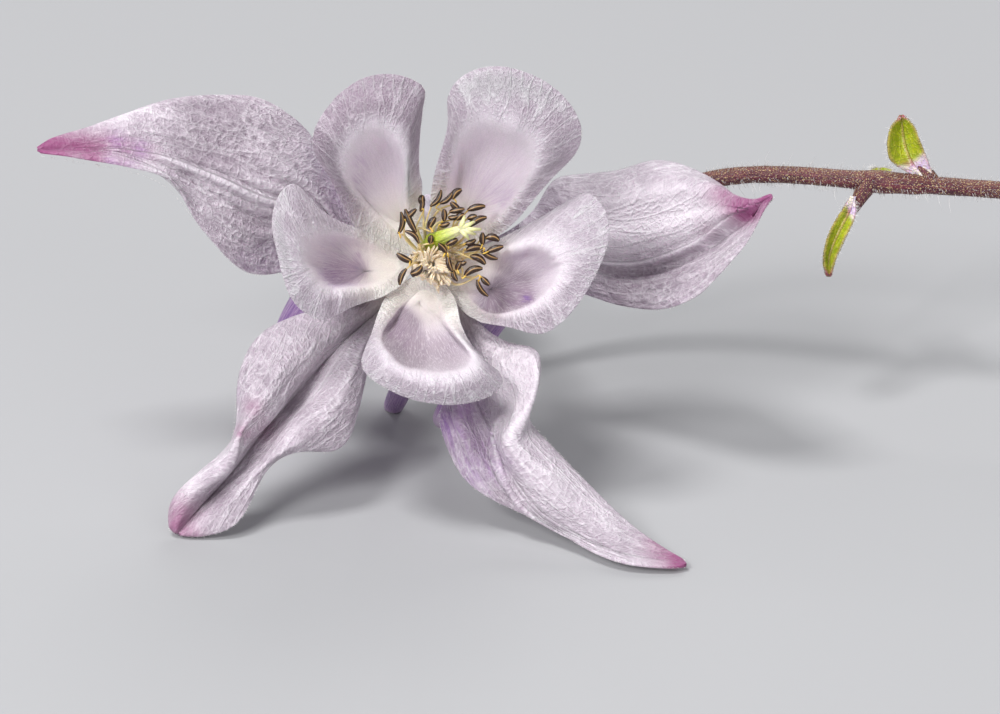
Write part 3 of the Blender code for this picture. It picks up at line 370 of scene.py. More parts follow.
# Where the inside of each hollow goes down into its spur, and the radius there
PITS = {
    "petal_left": (-4.6, -0.6, 0.7, 0.1),
    "petal_upper_left": (-1.9, 3.1, 0.4, 0.12),
    "petal_upper_right": (2.7, 3.8, 0.5, 0.12),
    "petal_right": (4.6, -1.9, 0.6, 0.1),
    "petal_bottom": (-0.6, -3.0, 0.7, 0.1),
}

# How strongly each hollow is tinted, how much painted shade its lip gets, and the violet spots and the spots of
# painted shade in the hollow, given as for the sepals
PETAL_STAINS_AND_SHADE = {
    "petal_left": (
        0.12, 0.0, ((-4.9, -0.4, 0.6, 1.0), (-5.1, 0.6, 0.25, 0.5), (-6.4, -0.9, 1.5, 0.45)),
        ((-6.1, -0.4, 1.3, 0.3),),
    ),
    "petal_upper_left": (0.08, 0.95, ((-5.4, 5.6, 1.2, 0.20), (-5.0, 7.6, 1.0, 0.15)), ()),
    "petal_upper_right": (0.10, 0.35, ((4.0, 5.2, 1.6, 0.15), (6.2, 4.6, 1.0, 0.15)), ()),
    "petal_right": (
        0.16, 0.0, ((7.2, -2.7, 0.5, 0.9), (5.6, -2.6, 1.8, 0.30)),
        ((6.3, -2.5, 1.6, 1.1), (4.4, -2.9, 1.6, 0.8), (7.0, -1.0, 1.3, 0.45)),
    ),
    "petal_bottom": (
        0.08, 0.1, ((-2.6, -4.6, 1.2, 0.4), (-2.0, -6.4, 1.1, 0.2)),
        ((-2.5, -4.6, 1.5, 2.6), (-1.7, -7.0, 1.3, 1.3), (1.4, -6.2, 2.4, 0.8)),
    ),
}


def spline(knots, t, closed=False):
    """Cubic spline through evenly spaced knots, at t from 0 to 1. Its ends are free, or it closes on itself."""
    knots = np.asarray(knots, float)
    n = len(knots)
    spans = n if closed else n - 1
    system = 4 * np.eye(n) + np.eye(n, k=1) + np.eye(n, k=-1)
    right = 6 * (np.roll(knots, -1, 0) - 2 * knots + np.roll(knots, 1, 0))
    if closed:
        system[0, -1] = system[-1, 0] = 1
    else:
        system[[0, -1]] = 0
        system[0, 0] = system[-1, -1] = 1
        right[[0, -1]] = 0
    bend = np.linalg.solve(system, right.reshape(n, -1)).reshape(knots.shape)
    s = np.asarray(t, float) * spans
    i = np.clip(s.astype(int), 0, spans - 1)
    f = (s - i).reshape((-1,) + (1,) * (knots.ndim - 1))
    j = (i + 1) % n
    return knots[i] * (1 - f) + knots[j] * f - f * (1 - f) * ((2 - f) * bend[i] + (1 + f) * bend[j]) / 6


def unit(v):
    """The vectors at length one."""
    return v / np.maximum(np.linalg.norm(v, axis=-1, keepdims=True), 1e-12)


def axes():
    """Rows right, up and out of the flower's frame, as directions in the row frame."""
    level = np.array([0, math.sin(LEAN), math.cos(LEAN)])
    right = math.cos(ROLL) * np.array([1, 0, 0]) + math.sin(ROLL) * level
    up = math.cos(ROLL) * level - math.sin(ROLL) * np.array([1, 0, 0])
    return np.stack([right, up, (0, -math.cos(LEAN), math.sin(LEAN))])


def place(points):
    """Flower-frame millimetres to the leaned-over pose, in metres."""
    return (np.asarray(points, float) @ axes() + SEAT) * MM


def smooth(low, high, x):
    """Smoothstep: 0 below low, 1 above high, and an even S between them."""
    x = np.clip((x - low) / (high - low), 0, 1)
    return x * x * (3 - 2 * x)


def bell(x, middle, width):
    """A bell curve of height 1 round the middle."""
    return np.exp(-((x - middle) / width) ** 2)


CELL_PRIMES = np.array([73856093, 19349663, 83492791])
SEED_PRIME = 9176263
STIR_PRIME = 1274126177
LOW_BITS = 0xFFFFFFF


def noise(points, size, seed=0):
    """Smooth random field from -1 to 1: random values at the corners of cubes of the given size, blended by
    smoothstep. A corner's value is hashed from its whole-number place and the seed."""
    cells = np.asarray(points, float) / size
    low = np.floor(cells).astype(np.int64)
    f = cells - low
    f = f * f * (3 - 2 * f)
    total = np.zeros(f.shape[:-1])
    for corner in np.ndindex(2, 2, 2):
        key = ((low + corner) @ CELL_PRIMES + seed * SEED_PRIME) & LOW_BITS
        key = (key ^ (key >> 13)) * STIR_PRIME
        value = ((key >> 7) & 0xFFFF) / 32767.5 - 1
        total += value * np.prod(np.where(np.array(corner) > 0, f, 1 - f), axis=-1)
    return total


def surface_normals(grid, closed=False):
    """Unit normals of a grid of points, from its two directions. The second may close on itself."""
    along = np.gradient(grid, axis=0)
    across = np.roll(grid, -1, 1) - np.roll(grid, 1, 1) if closed else np.gradient(grid, axis=1)
    return unit(np.cross(along, across))


def arc(grid, axis):
    """Length run along the grid in that direction."""
    step = np.linalg.norm(np.diff(grid, axis=axis), axis=-1)
    pad = [(0, 0), (0, 0)]
    pad[axis] = (1, 0)
    return np.cumsum(np.pad(step, pad), axis=axis)


def quads(rows, columns, closed=False, first=0):
    """Faces of a grid of points, row by row. A closed grid's last column joins its first."""
    i = np.arange(rows - 1)[:, None]
    j = np.arange(columns if closed else columns - 1)[None, :]
    k = (j + 1) % columns
    a, b = i * columns, (i + 1) * columns
    return np.stack([a + j, a + k, b + k, b + j], -1).reshape(-1, 4) + first


def keep_off_floor(points, gap=0.12):
    """Squeezes heights below the gap, in millimetres over the floor, into the space under it: gap exp(z/gap - 1).
    The points are in metres."""
    height = points[:, 2] / MM
    low = gap * np.exp(np.minimum(height / gap - 1, 0))
    points[:, 2] = np.where(height < gap, low, height) * MM
    return points


def make_piece(name, points, faces, slot, material, replaces=(), **attributes):
    """A smooth mesh piece from flower-frame points and blocks of faces, each block with as many corners a face."""
    mesh = bpy.data.meshes.new(name)
    corners = np.concatenate([block.ravel() for block in faces]).astype(np.int32)
    totals = np.concatenate([np.full(len(block), block.shape[1]) for block in faces]).astype(np.int32)
    mesh.vertices.add(len(points))
    mesh.vertices.foreach_set("co", keep_off_floor(place(points)).astype(np.float32).ravel())
    mesh.loops.add(len(corners))
    mesh.loops.foreach_set("vertex_index", corners)
    mesh.polygons.add(len(totals))
    mesh.polygons.foreach_set("loop_start", (np.cumsum(totals) - totals).astype(np.int32))
    mesh.polygons.foreach_set("loop_total", totals)
    mesh.update(calc_edges=True)
    mesh.shade_smooth()
    for key, values in attributes.items():
        values = np.asarray(values, np.float32)
        kind, field = ("FLOAT_VECTOR", "vector") if values.ndim == 2 else ("FLOAT", "value")
        mesh.attributes.new(key, kind, "POINT").data.foreach_set(field, values.ravel())
    mesh.materials.append(material)
    obj = bpy.data.objects.new(name, mesh)
    bpy.context.scene.collection.objects.link(obj)
    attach(obj, "root")
    if replaces:
        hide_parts(*replaces)
    return obj


def square_to(ahead):
    """Two unit directions square to each direction ahead and to each other, the first also square to SIDEWAYS."""
    side = unit(np.cross(ahead, SIDEWAYS))
    return side, np.cross(side, ahead)


def tubes(paths, radii, sides, wide=1.0, lobes=0.0):
    """Closed tubes, all at once: paths is (tubes, points, 3). Rings stand square to each path, flattened by wide and
    pinched to two lobes; flat caps close the ends. Returns points, face blocks and each point's angle."""
    count, length = paths.shape[:2]
    side, over = square_to(unit(np.gradient(paths, axis=1)))
    angle = np.arange(sides) * 2 * math.pi / sides
    reach = radii[..., None] * (1 + lobes * np.cos(2 * angle))
    ring = (reach * np.cos(angle) * wide)[..., None] * side[:, :, None]
    ring = ring + (reach * np.sin(angle))[..., None] * over[:, :, None]
    points = (paths[:, :, None] + ring).reshape(-1, 3)
    start = (np.arange(count) * length * sides)[:, None, None]
    walls = (quads(length, sides, closed=True)[None] + start).reshape(-1, 4)[:, ::-1]
    first = np.arange(sides)[None, :] + start[:, :, 0]
    last = first[:, ::-1] + (length - 1) * sides
    return points, [walls, first, last], np.tile(angle, count * length)


class Finish:
    """A procedural material being built: each method adds one node and gives back its output."""

    def __init__(self, name, roughness, **constants):
        self.material = bpy.data.materials.new(name)
        self.material.use_nodes = True
        self.tree = self.material.node_tree
        self.shader = self.tree.nodes["Principled BSDF"]
        self.shader.inputs["Roughness"].default_value = roughness
        for key, value in constants.items():
            self.shader.inputs[key.replace("_", " ")].default_value = value

    def add(self, kind, inputs=(), **settings):
        """One node, with its settings and with sockets set or linked by name or number."""
        node = self.tree.nodes.new(kind)
        for key, value in settings.items():
            setattr(node, key, value)
        for key, value in dict(inputs).items():
            if isinstance(value, bpy.types.NodeSocket):
                self.tree.links.new(value, node.inputs[key])
            else:
                node.inputs[key].default_value = value
        return node

    def mask(self, name):
        """The piece's own mask of that name."""
        return self.add("ShaderNodeAttribute", attribute_name=name).outputs["Fac"]

    def lay(self, scale=(1, 1, 1), turn=0.0):
        """The surface's own coordinates in millimetres, scaled and turned."""
        source = self.add("ShaderNodeAttribute", attribute_name="lay").outputs["Vector"]
        return self.add("ShaderNodeMapping", {0: source, "Scale": scale, "Rotation": (0, 0, turn)}).outputs[0]

    def math(self, operation, a, b=0.0, c=0.0, clamp=False):
        """The operation on up to three values."""
        return self.add("ShaderNodeMath", {0: a, 1: b, 2: c}, operation=operation, use_clamp=clamp).outputs[0]

    def times(self, a, b, clamp=False):
        """a b"""
        return self.math("MULTIPLY", a, b, clamp=clamp)

    def plus(self, a, b):
        """a + b"""
        return self.math("ADD", a, b)

    def with_share(self, value, share, start, clamp=False):
        """start + share times the value."""
        return self.math("MULTIPLY_ADD", value, share, start, clamp)

    def step(self, value, low, high, bottom=0.0, top=1.0):
        """Smoothstep of the value from bottom at low to top at high."""
        inputs = {0: value, 1: low, 2: high, 3: bottom, 4: top}
        return self.add("ShaderNodeMapRange", inputs, interpolation_type="SMOOTHSTEP").outputs[0]

    def cloud(self, where, scale, detail=2.0, distortion=0.0):
        """Soft noise from 0 to 1."""
        inputs = {"Vector": where, "Scale": scale, "Detail": detail, "Distortion": distortion}
        return self.add("ShaderNodeTexNoise", inputs).outputs[0]

    def warp(self, where, scale, amount):
        """Coordinates pushed about by a soft noise."""
        drift = self.add("ShaderNodeTexNoise", {"Vector": where, "Scale": scale, "Detail": 2.0}).outputs[1]
        push = self.add("ShaderNodeVectorMath", {0: drift, 1: (0.5, 0.5, 0.5)}, operation="SUBTRACT").outputs[0]
        inputs = {0: push, 1: (amount, amount, amount), 2: where}
        return self.add("ShaderNodeVectorMath", inputs, operation="MULTIPLY_ADD").outputs[0]

    def net(self, where, width, scale=1.0):
        """Lines between cells: 1 on a line, 0 from the given distance on."""
        inputs = {"Vector": where, "Scale": scale}
        cells = self.add("ShaderNodeTexVoronoi", inputs, feature="DISTANCE_TO_EDGE").outputs[0]
        return self.step(cells, 0.0, width, 1.0, 0.0)

    def ridge(self, where, width):
        """Branching lines: 1 where a soft noise passes its middle value, 0 from the given departure on."""
        level = self.math("ABSOLUTE", self.math("SUBTRACT", self.cloud(where, 1.0, 1.0), 0.5))
        return self.step(level, 0.0, width, 1.0, 0.0)

    def mix(self, share, a, b):
        """Colour a, and b where share is 1."""
        inputs = {0: share, 6: a, 7: b}
        for slot in (6, 7):
            if isinstance(inputs[slot], tuple):
                inputs[slot] = (*inputs[slot], 1.0)
        return self.add("ShaderNodeMix", inputs, data_type="RGBA").outputs[2]

    def done(self, colour, height=None, depth=0.05):
        """Connects the colour, and the height as a bump of the given depth in millimetres."""
        self.tree.links.new(colour, self.shader.inputs["Base Color"])
        if height is not None:
            bump = self.add("ShaderNodeBump", {"Height": height, "Distance": depth * MM})
            self.tree.links.new(bump.outputs[0], self.shader.inputs["Normal"])
        return self.material


def scaled(vector, factor):
    """The vector times a number."""
    return tuple(factor * part for part in vector)


def tissue(name, cell, ridge, flow, mesh, turn, bump, sheer, paint):
    """Petal or sepal skin: pale branching long veins and a net of raised veins over darker cells of the colour cell,
    with tints by mask. The pale mask lightens the skin towards the ridge colour, for pale veins and claws and as
    painted light; the mask of painted shade and the quilted cells darken it as painted shade. flow and mesh scale the
    lay coordinates for the long veins and the net, which is turned by the angle. ridge is the colour of the pale veins
    and of the painted light, sheer how deep light goes in, in millimetres, and paint how pale the veins are."""
    skin = Finish(name, 0.48, Sheen_Weight=0.08, Sheen_Roughness=0.4, Subsurface_Weight=0.6,
                  Subsurface_Radius=(1.0, 0.85, 0.95), Subsurface_Scale=sheer * MM, Specular_IOR_Level=0.4)
    quilt, painted_shade, pink = skin.mask("quilt"), skin.mask("painted_shade"), skin.mask("pink")
    grain = skin.cloud(skin.lay(), 9.0)
    swell = skin.cloud(skin.lay((0.55, 0.55, 0.55)), 1.0, 3.0)

    long_veins = skin.ridge(skin.warp(skin.lay(flow, -0.3), 0.5, 0.35), 0.045)
    net = skin.net(skin.warp(skin.lay(mesh, turn), 0.9, 0.45), 0.17)
    fine_net = skin.net(skin.warp(skin.lay(scaled(mesh, 2.1), turn + 0.35), 1.1, 0.5), 0.24)
    threads = skin.ridge(skin.lay(scaled(flow, 4.5), 0.12), 0.06)
    pillow = skin.net(skin.warp(skin.lay(scaled(mesh, 0.8), turn), 0.9, 0.45), 0.42)
    crumple = skin.times(skin.ridge(skin.warp(skin.lay((1.7, 0.7, 1.0), 0.75), 1.0, 0.5), 0.07), quilt)

    raised = skin.plus(skin.plus(skin.times(net, 0.42), skin.times(fine_net, 0.30)), skin.times(long_veins, 0.65))
    raised = skin.times(skin.times(raised, skin.step(swell, 0.25, 0.7, 0.55, 1.15)), skin.mask("vein"))
    threads = skin.times(threads, skin.times(skin.mask("fibre"), 1.5))
    seams = skin.times(skin.step(pillow, 0.35, 0.95), quilt)
    lines = skin.plus(skin.times(raised, paint), skin.times(threads, 0.5))
    lines = skin.with_share(crumple, 0.12, skin.with_share(seams, 0.28, lines), clamp=True)
    # the veins show less where shade is painted
    lines = skin.times(lines, skin.with_share(painted_shade, -0.45, 1.0))

    mottle = skin.step(skin.cloud(skin.lay(scaled(flow, 2.2)), 1.2, 3.0, 0.8), 0.3, 0.75, 0.5, 1.1)
    tint = skin.times(skin.mask("violet"), mottle)
    under = skin.mix(skin.step(swell, 0.35, 0.7), cell, scaled(cell, 1.25))
    # lighter towards the ridge colour: pale veins and claws, and painted light in petal hollows and sepal spots
    under = skin.mix(skin.mask("pale"), under, ridge)
    # painted shade in the quilted cells between the veins
    under = skin.mix(skin.times(quilt, 0.35), under, SHADE)
    under = skin.mix(skin.step(tint, 0.0, 0.6), under, LILAC)
    # painted shade: the skin darkened towards a dusky colour where shade is painted
    under = skin.mix(skin.times(painted_shade, 0.85, clamp=True), under, PAINTED_SHADE_COLOUR)
    under = skin.mix(skin.step(tint, 0.5, 1.2), under, VIOLET)
    under = skin.mix(skin.times(pink, 0.95), under, MAGENTA)
    over = skin.mix(skin.step(tint, 0.25, 1.0), WHITE, LILAC)
    over = skin.mix(skin.times(pink, 0.75), over, MAGENTA)
    colour = skin.mix(lines, under, over)
    colour = skin.mix(skin.times(skin.mask("cream"), 0.95), colour, CREAM)
    colour = skin.mix(skin.step(grain, 0.3, 0.7, 0.14, 0.0), colour, SHADE)

    height = skin.plus(raised, skin.times(grain, 0.25))
    height = skin.plus(height, skin.times(pillow, skin.with_share(quilt, 0.9, 0.10)))
    return skin.done(colour, skin.with_share(crumple, 0.2, height), bump)


def stem_finish():
    """Maroon stem with lengthwise streaks and pale flecks, browner on the side that faces up."""
    skin = Finish("stem_skin", 0.42, Subsurface_Weight=0.08, Subsurface_Radius=(1.0, 0.3, 0.2),
                  Subsurface_Scale=0.0004)
    streak = skin.cloud(skin.lay((3.0, 3.0, 0.5)), 1.0, 3.0, 0.5)
    fleck = skin.cloud(skin.lay((1.0, 1.0, 0.7)), 11.0, 1.0)
    colour = skin.mix(skin.step(streak, 0.35, 0.7), DARK_MAROON, MAROON)
    colour = skin.mix(skin.times(skin.mask("upper"), 0.4), colour, RUSSET)
    colour = skin.mix(skin.step(fleck, 0.58, 0.67, 0.0, 0.85), colour, STRAW)
    return skin.done(colour, skin.plus(streak, fleck), 0.08)


def bract_finish():
    """Yellow-green leaf with a pale net, a cream sheath below and purple edges."""
    skin = Finish("bract_skin", 0.4, Subsurface_Weight=0.25, Subsurface_Radius=(0.6, 1.0, 0.2),
                  Subsurface_Scale=0.0004)
    net = skin.net(skin.warp(skin.lay((1.6, 1.0, 1.0)), 1.2, 0.8), 0.12, 1.5)
    cloud = skin.cloud(skin.lay(), 1.4, 3.0)
    colour = skin.mix(skin.step(cloud, 0.3, 0.7), LEAF_GREEN, YOUNG_GREEN)
    colour = skin.mix(skin.times(net, 0.35), colour, VEIN_YELLOW)
    sheath = skin.mix(skin.step(cloud, 0.4, 0.6), SHEATH_CREAM, SHEATH_LILAC)
    colour = skin.mix(skin.mask("cream"), colour, sheath)
    colour = skin.mix(skin.mask("violet"), colour, EDGE_PURPLE)
    return skin.done(colour, skin.plus(net, cloud), 0.05)


def anther_finish():
    """Dark brown and gritty, with pale gold seams."""
    skin = Finish("anther_skin", 0.33)
    grit = skin.cloud(skin.lay(), 9.0, 3.0)
    brown = skin.mix(skin.step(grit, 0.3, 0.7), UMBER, BROWN)
    seam = skin.step(skin.mask("gold"), 0.5, 1.0)
    return skin.done(skin.mix(seam, brown, GOLD), grit, 0.03)


def mottled(name, low, high, roughness, scale, depth, far=None, **constants):
    """Two mottled colours, and where one is given, a third towards the far end."""
    skin = Finish(name, roughness, **constants)
    cloud = skin.cloud(skin.lay(), scale, 3.0, 0.4)
    colour = skin.mix(skin.step(cloud, 0.3, 0.7), low, high)
    if far is not None:
        colour = skin.mix(skin.mask("far"), colour, far)
    return skin.done(colour, cloud, depth)


def floor_finish():
    """Pale grey paper, slightly clouded."""
    paper = Finish("floor_paper", 0.75)
    cloud = paper.cloud(paper.add("ShaderNodeTexCoord").outputs["Object"], 3.0)
    return paper.done(paper.mix(cloud, (0.40, 0.40, 0.41), (0.43, 0.43, 0.44)))


WHITE = (0.80, 0.74, 0.79)
SHADE = (0.26, 0.19, 0.25)
# the dusky colour of painted shade
PAINTED_SHADE_COLOUR = (0.26, 0.20, 0.25)
LILAC = (0.44, 0.26, 0.51)
VIOLET = (0.13, 0.04, 0.30)
MAGENTA = (0.29, 0.070, 0.19)
CREAM = (0.95, 0.90, 0.84)

DARK_MAROON = (0.065, 0.008, 0.022)
MAROON = (0.15, 0.024, 0.042)
RUSSET = (0.17, 0.070, 0.035)
STRAW = (0.62, 0.46, 0.22)

LEAF_GREEN = (0.26, 0.33, 0.010)
YOUNG_GREEN = (0.46, 0.50, 0.020)
VEIN_YELLOW = (0.66, 0.64, 0.10)
SHEATH_CREAM = (0.80, 0.72, 0.62)
SHEATH_LILAC = (0.62, 0.50, 0.66)
EDGE_PURPLE = (0.36, 0.09, 0.12)

UMBER = (0.012, 0.005, 0.003)
BROWN = (0.050, 0.022, 0.010)
GOLD = (0.42, 0.24, 0.09)

SEPAL_SKIN = tissue("sepal_skin", cell=(0.43, 0.365, 0.42), ridge=(0.74, 0.68, 0.73), flow=(0.13, 0.9, 1.0),
                    mesh=(1.3, 1.75, 1.0), turn=0.4, bump=0.10, sheer=0.35, paint=0.62)
PETAL_SKIN = tissue("petal_skin", cell=(0.40, 0.345, 0.395), ridge=(0.88, 0.80, 0.87), flow=(1.3, 1.3, 0.16),
                    mesh=(3.6, 3.6, 1.8), turn=0.0, bump=0.12, sheer=0.5, paint=0.75)
STEM_SKIN = stem_finish()
HAIR = mottled("hair", (0.75, 0.72, 0.70), (0.88, 0.86, 0.86), 0.5, 1.0, 0.02)
BRACT_SKIN = bract_finish()
ANTHER_SKIN = anther_finish()
THREAD = mottled("filament_skin", (0.88, 0.68, 0.34), (0.95, 0.85, 0.56), 0.4, 2.0, 0.01, far=(0.82, 0.50, 0.08),
                 Subsurface_Weight=0.3, Subsurface_Radius=(1.0, 0.8, 0.4), Subsurface_Scale=0.0003)
RUFFLE = mottled("staminode_skin", (0.90, 0.66, 0.42), (0.99, 0.88, 0.68), 0.45, 2.5, 0.06, far=(0.99, 0.92, 0.80),
                 Subsurface_Weight=0.4, Subsurface_Radius=(1.0, 0.8, 0.5), Subsurface_Scale=0.0003)
LIME = mottled("pistil_skin", (0.36, 0.50, 0.02), (0.60, 0.72, 0.08), 0.35, 3.6, 0.08, far=(0.84, 0.84, 0.42),
               Subsurface_Weight=0.35, Subsurface_Radius=(0.7, 1.0, 0.2), Subsurface_Scale=0.0004)


def blade_grid(rails, along, across):
    """Grid through lengthwise rails: a spline runs along each rail, then one across them at every station."""
    lines = spline(np.asarray(rails, float).transpose(1, 0, 2), np.linspace(0, 1, along))
    return spline(lines.transpose(1, 0, 2), np.linspace(0, 1, across)).transpose(1, 0, 2)


def shell(front, back):
    """Points and faces of a closed leaf from the grids of its two faces, sewn together round the margin."""
    rows, columns = front.shape[:2]
    points = np.concatenate([front.reshape(-1, 3), back.reshape(-1, 3)])
    face = quads(rows, columns)
    index = np.arange(rows * columns).reshape(rows, columns)
    margin = np.concatenate([index[0, :-1], index[:-1, -1], index[-1, :0:-1], index[:0:-1, 0]])
    ahead = np.roll(margin, -1)
    count = rows * columns
    hem = np.stack([ahead, margin, margin + count, ahead + count], -1)
    return points, [face, face[:, ::-1] + count, hem]


TIP_SHARE = 0.03                 # how much of a leaf's length its rounded tip takes
OTHER_HALF = 40.0                # third lay coordinate of one half of a leaf, so that the halves' veins differ


def leaf(node, rails, slot, material, relief, masks, cells=(200, 84), thick=0.28, toward=(0, 0, 1)):
    """A thin closed leaf in place of the node. Its middle surface is the grid through the rails, lifted along the
    normal by relief(s, w, along, across, place in space), with s from claw to tip and w from -1 to 1 across. Its two
    faces part by the thickness, which thins to the margin. The lay coordinates are the run along the leaf and the
    way out from its midrib. Over the last 3 % the tip narrows by a quarter circle, and the relief fades where
    neighbouring columns come within 0.04 mm."""
    grid = blade_grid(rails, *cells)
    rows, columns = cells
    s = np.linspace(0, 1, rows)[:, None] + np.zeros((1, columns))
    w = np.linspace(-1, 1, columns)[None, :] + np.zeros((rows, 1))
    run = arc(grid, 0).mean(1, keepdims=True) + 0 * s
    over = arc(grid, 1)
    over = over - over[:, columns // 2][:, None]
    midline = grid[:, columns // 2][:, None]
    into_tip = np.clip(s - (1 - TIP_SHARE), 0, 1) / TIP_SHARE
    grid = midline + (grid - midline) * np.sqrt(np.clip(1.05 - into_tip ** 2, 0, 1))[..., None]
    side = 1 if (surface_normals(grid).mean((0, 1)) * toward).sum() > 0 else -1
    room = smooth(0.003, 0.04, np.linalg.norm(np.gradient(grid, axis=1), axis=-1))
    grid = grid + side * surface_normals(grid) * (relief(s, w, run, over, grid) * room)[..., None]
    half = 0.5 * thick * (0.35 + 0.65 * np.sqrt(np.clip(1 - w ** 6, 0, 1)))[..., None]
    normal = side * surface_normals(grid)
    points, faces = shell(grid + normal * half, grid - normal * half)
    lay = np.stack([run, np.abs(over), OTHER_HALF * (over > 0)], -1).reshape(-1, 3)
    doubled = {key: np.tile((value + 0 * s).reshape(-1), 2) for key, value in masks(s, w, grid).items()}
    return make_piece(node + "_skin", points, [block[:, ::-side] for block in faces], slot, material, (node,),
                      lay=np.concatenate([lay, lay]), **doubled)


# used for violet and pink stains, and for spots of painted light and painted shade
def soft_spots(where, spots):
    """Soft round spots in the flower's face, added up: strength times exp(-(distance / radius) squared), with the
    distance seen from the front."""
    return sum(strength * np.exp(-((where[..., 0] - x) ** 2 + (where[..., 1] - y) ** 2) / radius ** 2)
               for x, y, radius, strength in spots)


def fold_height(name, s, w):
    """The sepal's folds, each fading in and out along it: a bell across for a ridge, a smooth way down for a step."""
    total = 0 * s
    for kind, place, width, height, start, end, *drift in SEPAL_FOLDS[name]:
        place = place + sum(drift) * (s - start)
        if kind == "ridge":
            shape = bell(w, place, width)
        else:
            shape = (0.5 - smooth(place - width, place + width, w)) * (1 - w * w)
        total = total + height * shape * smooth(start, start + 0.16, s) * smooth(end, end - 0.14, s)
    return total


def quilting(name, s, w):
    """From 0 to 1: soft oval patches, each a bell along times a bell across."""
    return np.clip(sum(bell(s, a, ra) * bell(w, b, rb) for a, b, ra, rb in SEPAL_QUILTS[name]), 0, 1)


def crinkle(run, over, where, seed, depth=0.04):
    """Papery wrinkles: ridged noise, long across the leaf's chevron and short along it."""
    lean = 0.75 * run - 0.65 * np.abs(over)
    across = 0.65 * run + 0.75 * np.abs(over)
    at = np.stack([lean / 0.85, across / 2.4, 0 * run + 9 * (over > 0)], -1)
    at = at + 0.7 * noise(where, 2.0, seed)[..., None]
    return depth * (1 - 2.2 * np.abs(noise(at, 1.0, seed + 1)))


def ribs(w, s, depth=0.06, count=4):
    """Lengthwise veins that stand up a little: narrow bells at even shares of the width, fading to claw and tip."""
    fade = smooth(0.08, 0.3, s) * smooth(1.0, 0.8, s)
    lines = sum(bell(np.abs(w), (k + 0.5) / count, 0.035) for k in range(count))
    return depth * lines * fade


def sepal(name, rails, seed, **shape):
    """One sepal: a leaf with its folds, wrinkles, stains, and painted light and shade."""

    def relief(s, w, run, over, where):
        """Soft swells, folds, wrinkles that die out to the claw and margin, and lengthwise ribs."""
        body = smooth(0.12, 0.35, s) * smooth(1.0, 0.86, s)
        swell = 0.18 * noise(where, 2.8, seed) * body
        quilt = 0.12 + 1.0 * quilting(name, s, w)
        wrinkles = crinkle(run, over, where, seed + 3) * body * quilt * (1 - 0.5 * np.abs(w) ** 4)
        return swell + wrinkles + ribs(w, s) + fold_height(name, s, w)

    def masks(s, w, where):
        """Pink at the tip and violet in spots, cream to the claw, paler veins and quilted patches, and spots of
        painted light and painted shade.
        """
        quilt = quilting(name, s, w)
        light_and_shade = soft_spots(where, SEPAL_LIGHT_AND_SHADE[name])
        veins = sum(bell(w, at, 0.035) * smooth(end, end - 0.3, s) for at, end in SEPAL_VEINS[name])
        # paler to the claw and on the veins, and painted light where the spots are above zero
        pale = 0.45 * smooth(0.5, 0.1, s) * (1 - quilt) + np.maximum(light_and_shade, 0) + 0.8 * veins
        return dict(
            violet=0.05 + soft_spots(where, SEPAL_VIOLET[name]),
            pink=soft_spots(where, SEPAL_PINK[name]) + 0.5 * smooth(0.93, 1.0, s),
            cream=smooth(0.20, 0.04, s) * 0.7,
            vein=smooth(0.02, 0.2, s) * (1 - 0.5 * smooth(0.85, 1.0, s)),
            pale=np.clip(pale, 0, 1),
            fibre=0.35,
            quilt=quilt,
            # painted shade where the spots are below zero, kept off the veins
            painted_shade=np.clip(-light_and_shade, 0, 1) * np.clip(1 - veins, 0, 1),
        )

    leaf(name, rails, "sepal", SEPAL_SKIN, relief, masks, **shape)


def build_sepals():
    """The five sepals. The one that bends back has rails beside its middle line, by half its width: level at the
    middle, and lifted to the margins."""
    for number, (name, rails) in enumerate(SEPALS.items()):
        sepal(name, rails, 10 * number)
    middle = np.array(TOP_MIDLINE)
    half = np.array(TOP_HALF_WIDTH)[:, None]
    rails = [middle + half * (u, -0.05 * u + 0.27 * abs(u) - 0.09, 0.12 * abs(u) - 0.04)
             for u in (-1, -0.5, 0, 0.5, 1)]
    sepal("sepal_top", rails, 60, cells=(150, 64), toward=(0, 1, 0))


def build_bracts():
    """The three bracts: thin leaves with a raised midrib."""

    def relief(s, w, run, over, where):
        """Soft swells and a bell along the midrib that fades to the tip."""
        return 0.05 * noise(where, 0.8, 3) + 0.10 * bell(w, 0, 0.12) * smooth(1.0, 0.7, s)

    def masks(s, w, where):
        """A pale sheath below, purple along the margins, midrib and tip."""
        edge = smooth(0.86, 1.0, np.abs(w)) * 0.4 + 0.5 * bell(w, 0, 0.05) * smooth(0.0, 0.3, s)
        blush_and_shade = 0.5 * bell(s, 0.24, 0.06) * bell(w, -0.2, 0.5)
        violet = np.clip(edge + blush_and_shade + 0.6 * smooth(0.86, 1.0, s), 0, 1)
        return dict(violet=violet, cream=smooth(0.30, 0.20, s - 0.08 * w))

    for name, rails in BRACTS.items():
        leaf(name, rails, "bract", BRACT_SKIN, relief, masks, cells=(70, 40), thick=0.3)


PETAL_SIDES = 168
INSIDE_RINGS, OUTSIDE_RINGS = 104, 74
INSIDE_END = 0.93                # how far down the spur the inside reaches
KNOB_RINGS = 8
WALL = 0.3                       # thickness of a petal, in millimetres
MOUTH_SLANT = (0.65, 0.3, 0.1, 0, 0, 0)       # share of the crest's slant that each circle of the spur keeps
PIT_SHARE = (1, 0.45, 0.1, 0, 0, 0)           # how much each circle of the hollow is drawn to the pit
BOWL_SIZE = (0.68, 0.68, 0.42)                # of the crest, measured from the pit
BORE = 0.6                                    # radius of the hollow over the spur's


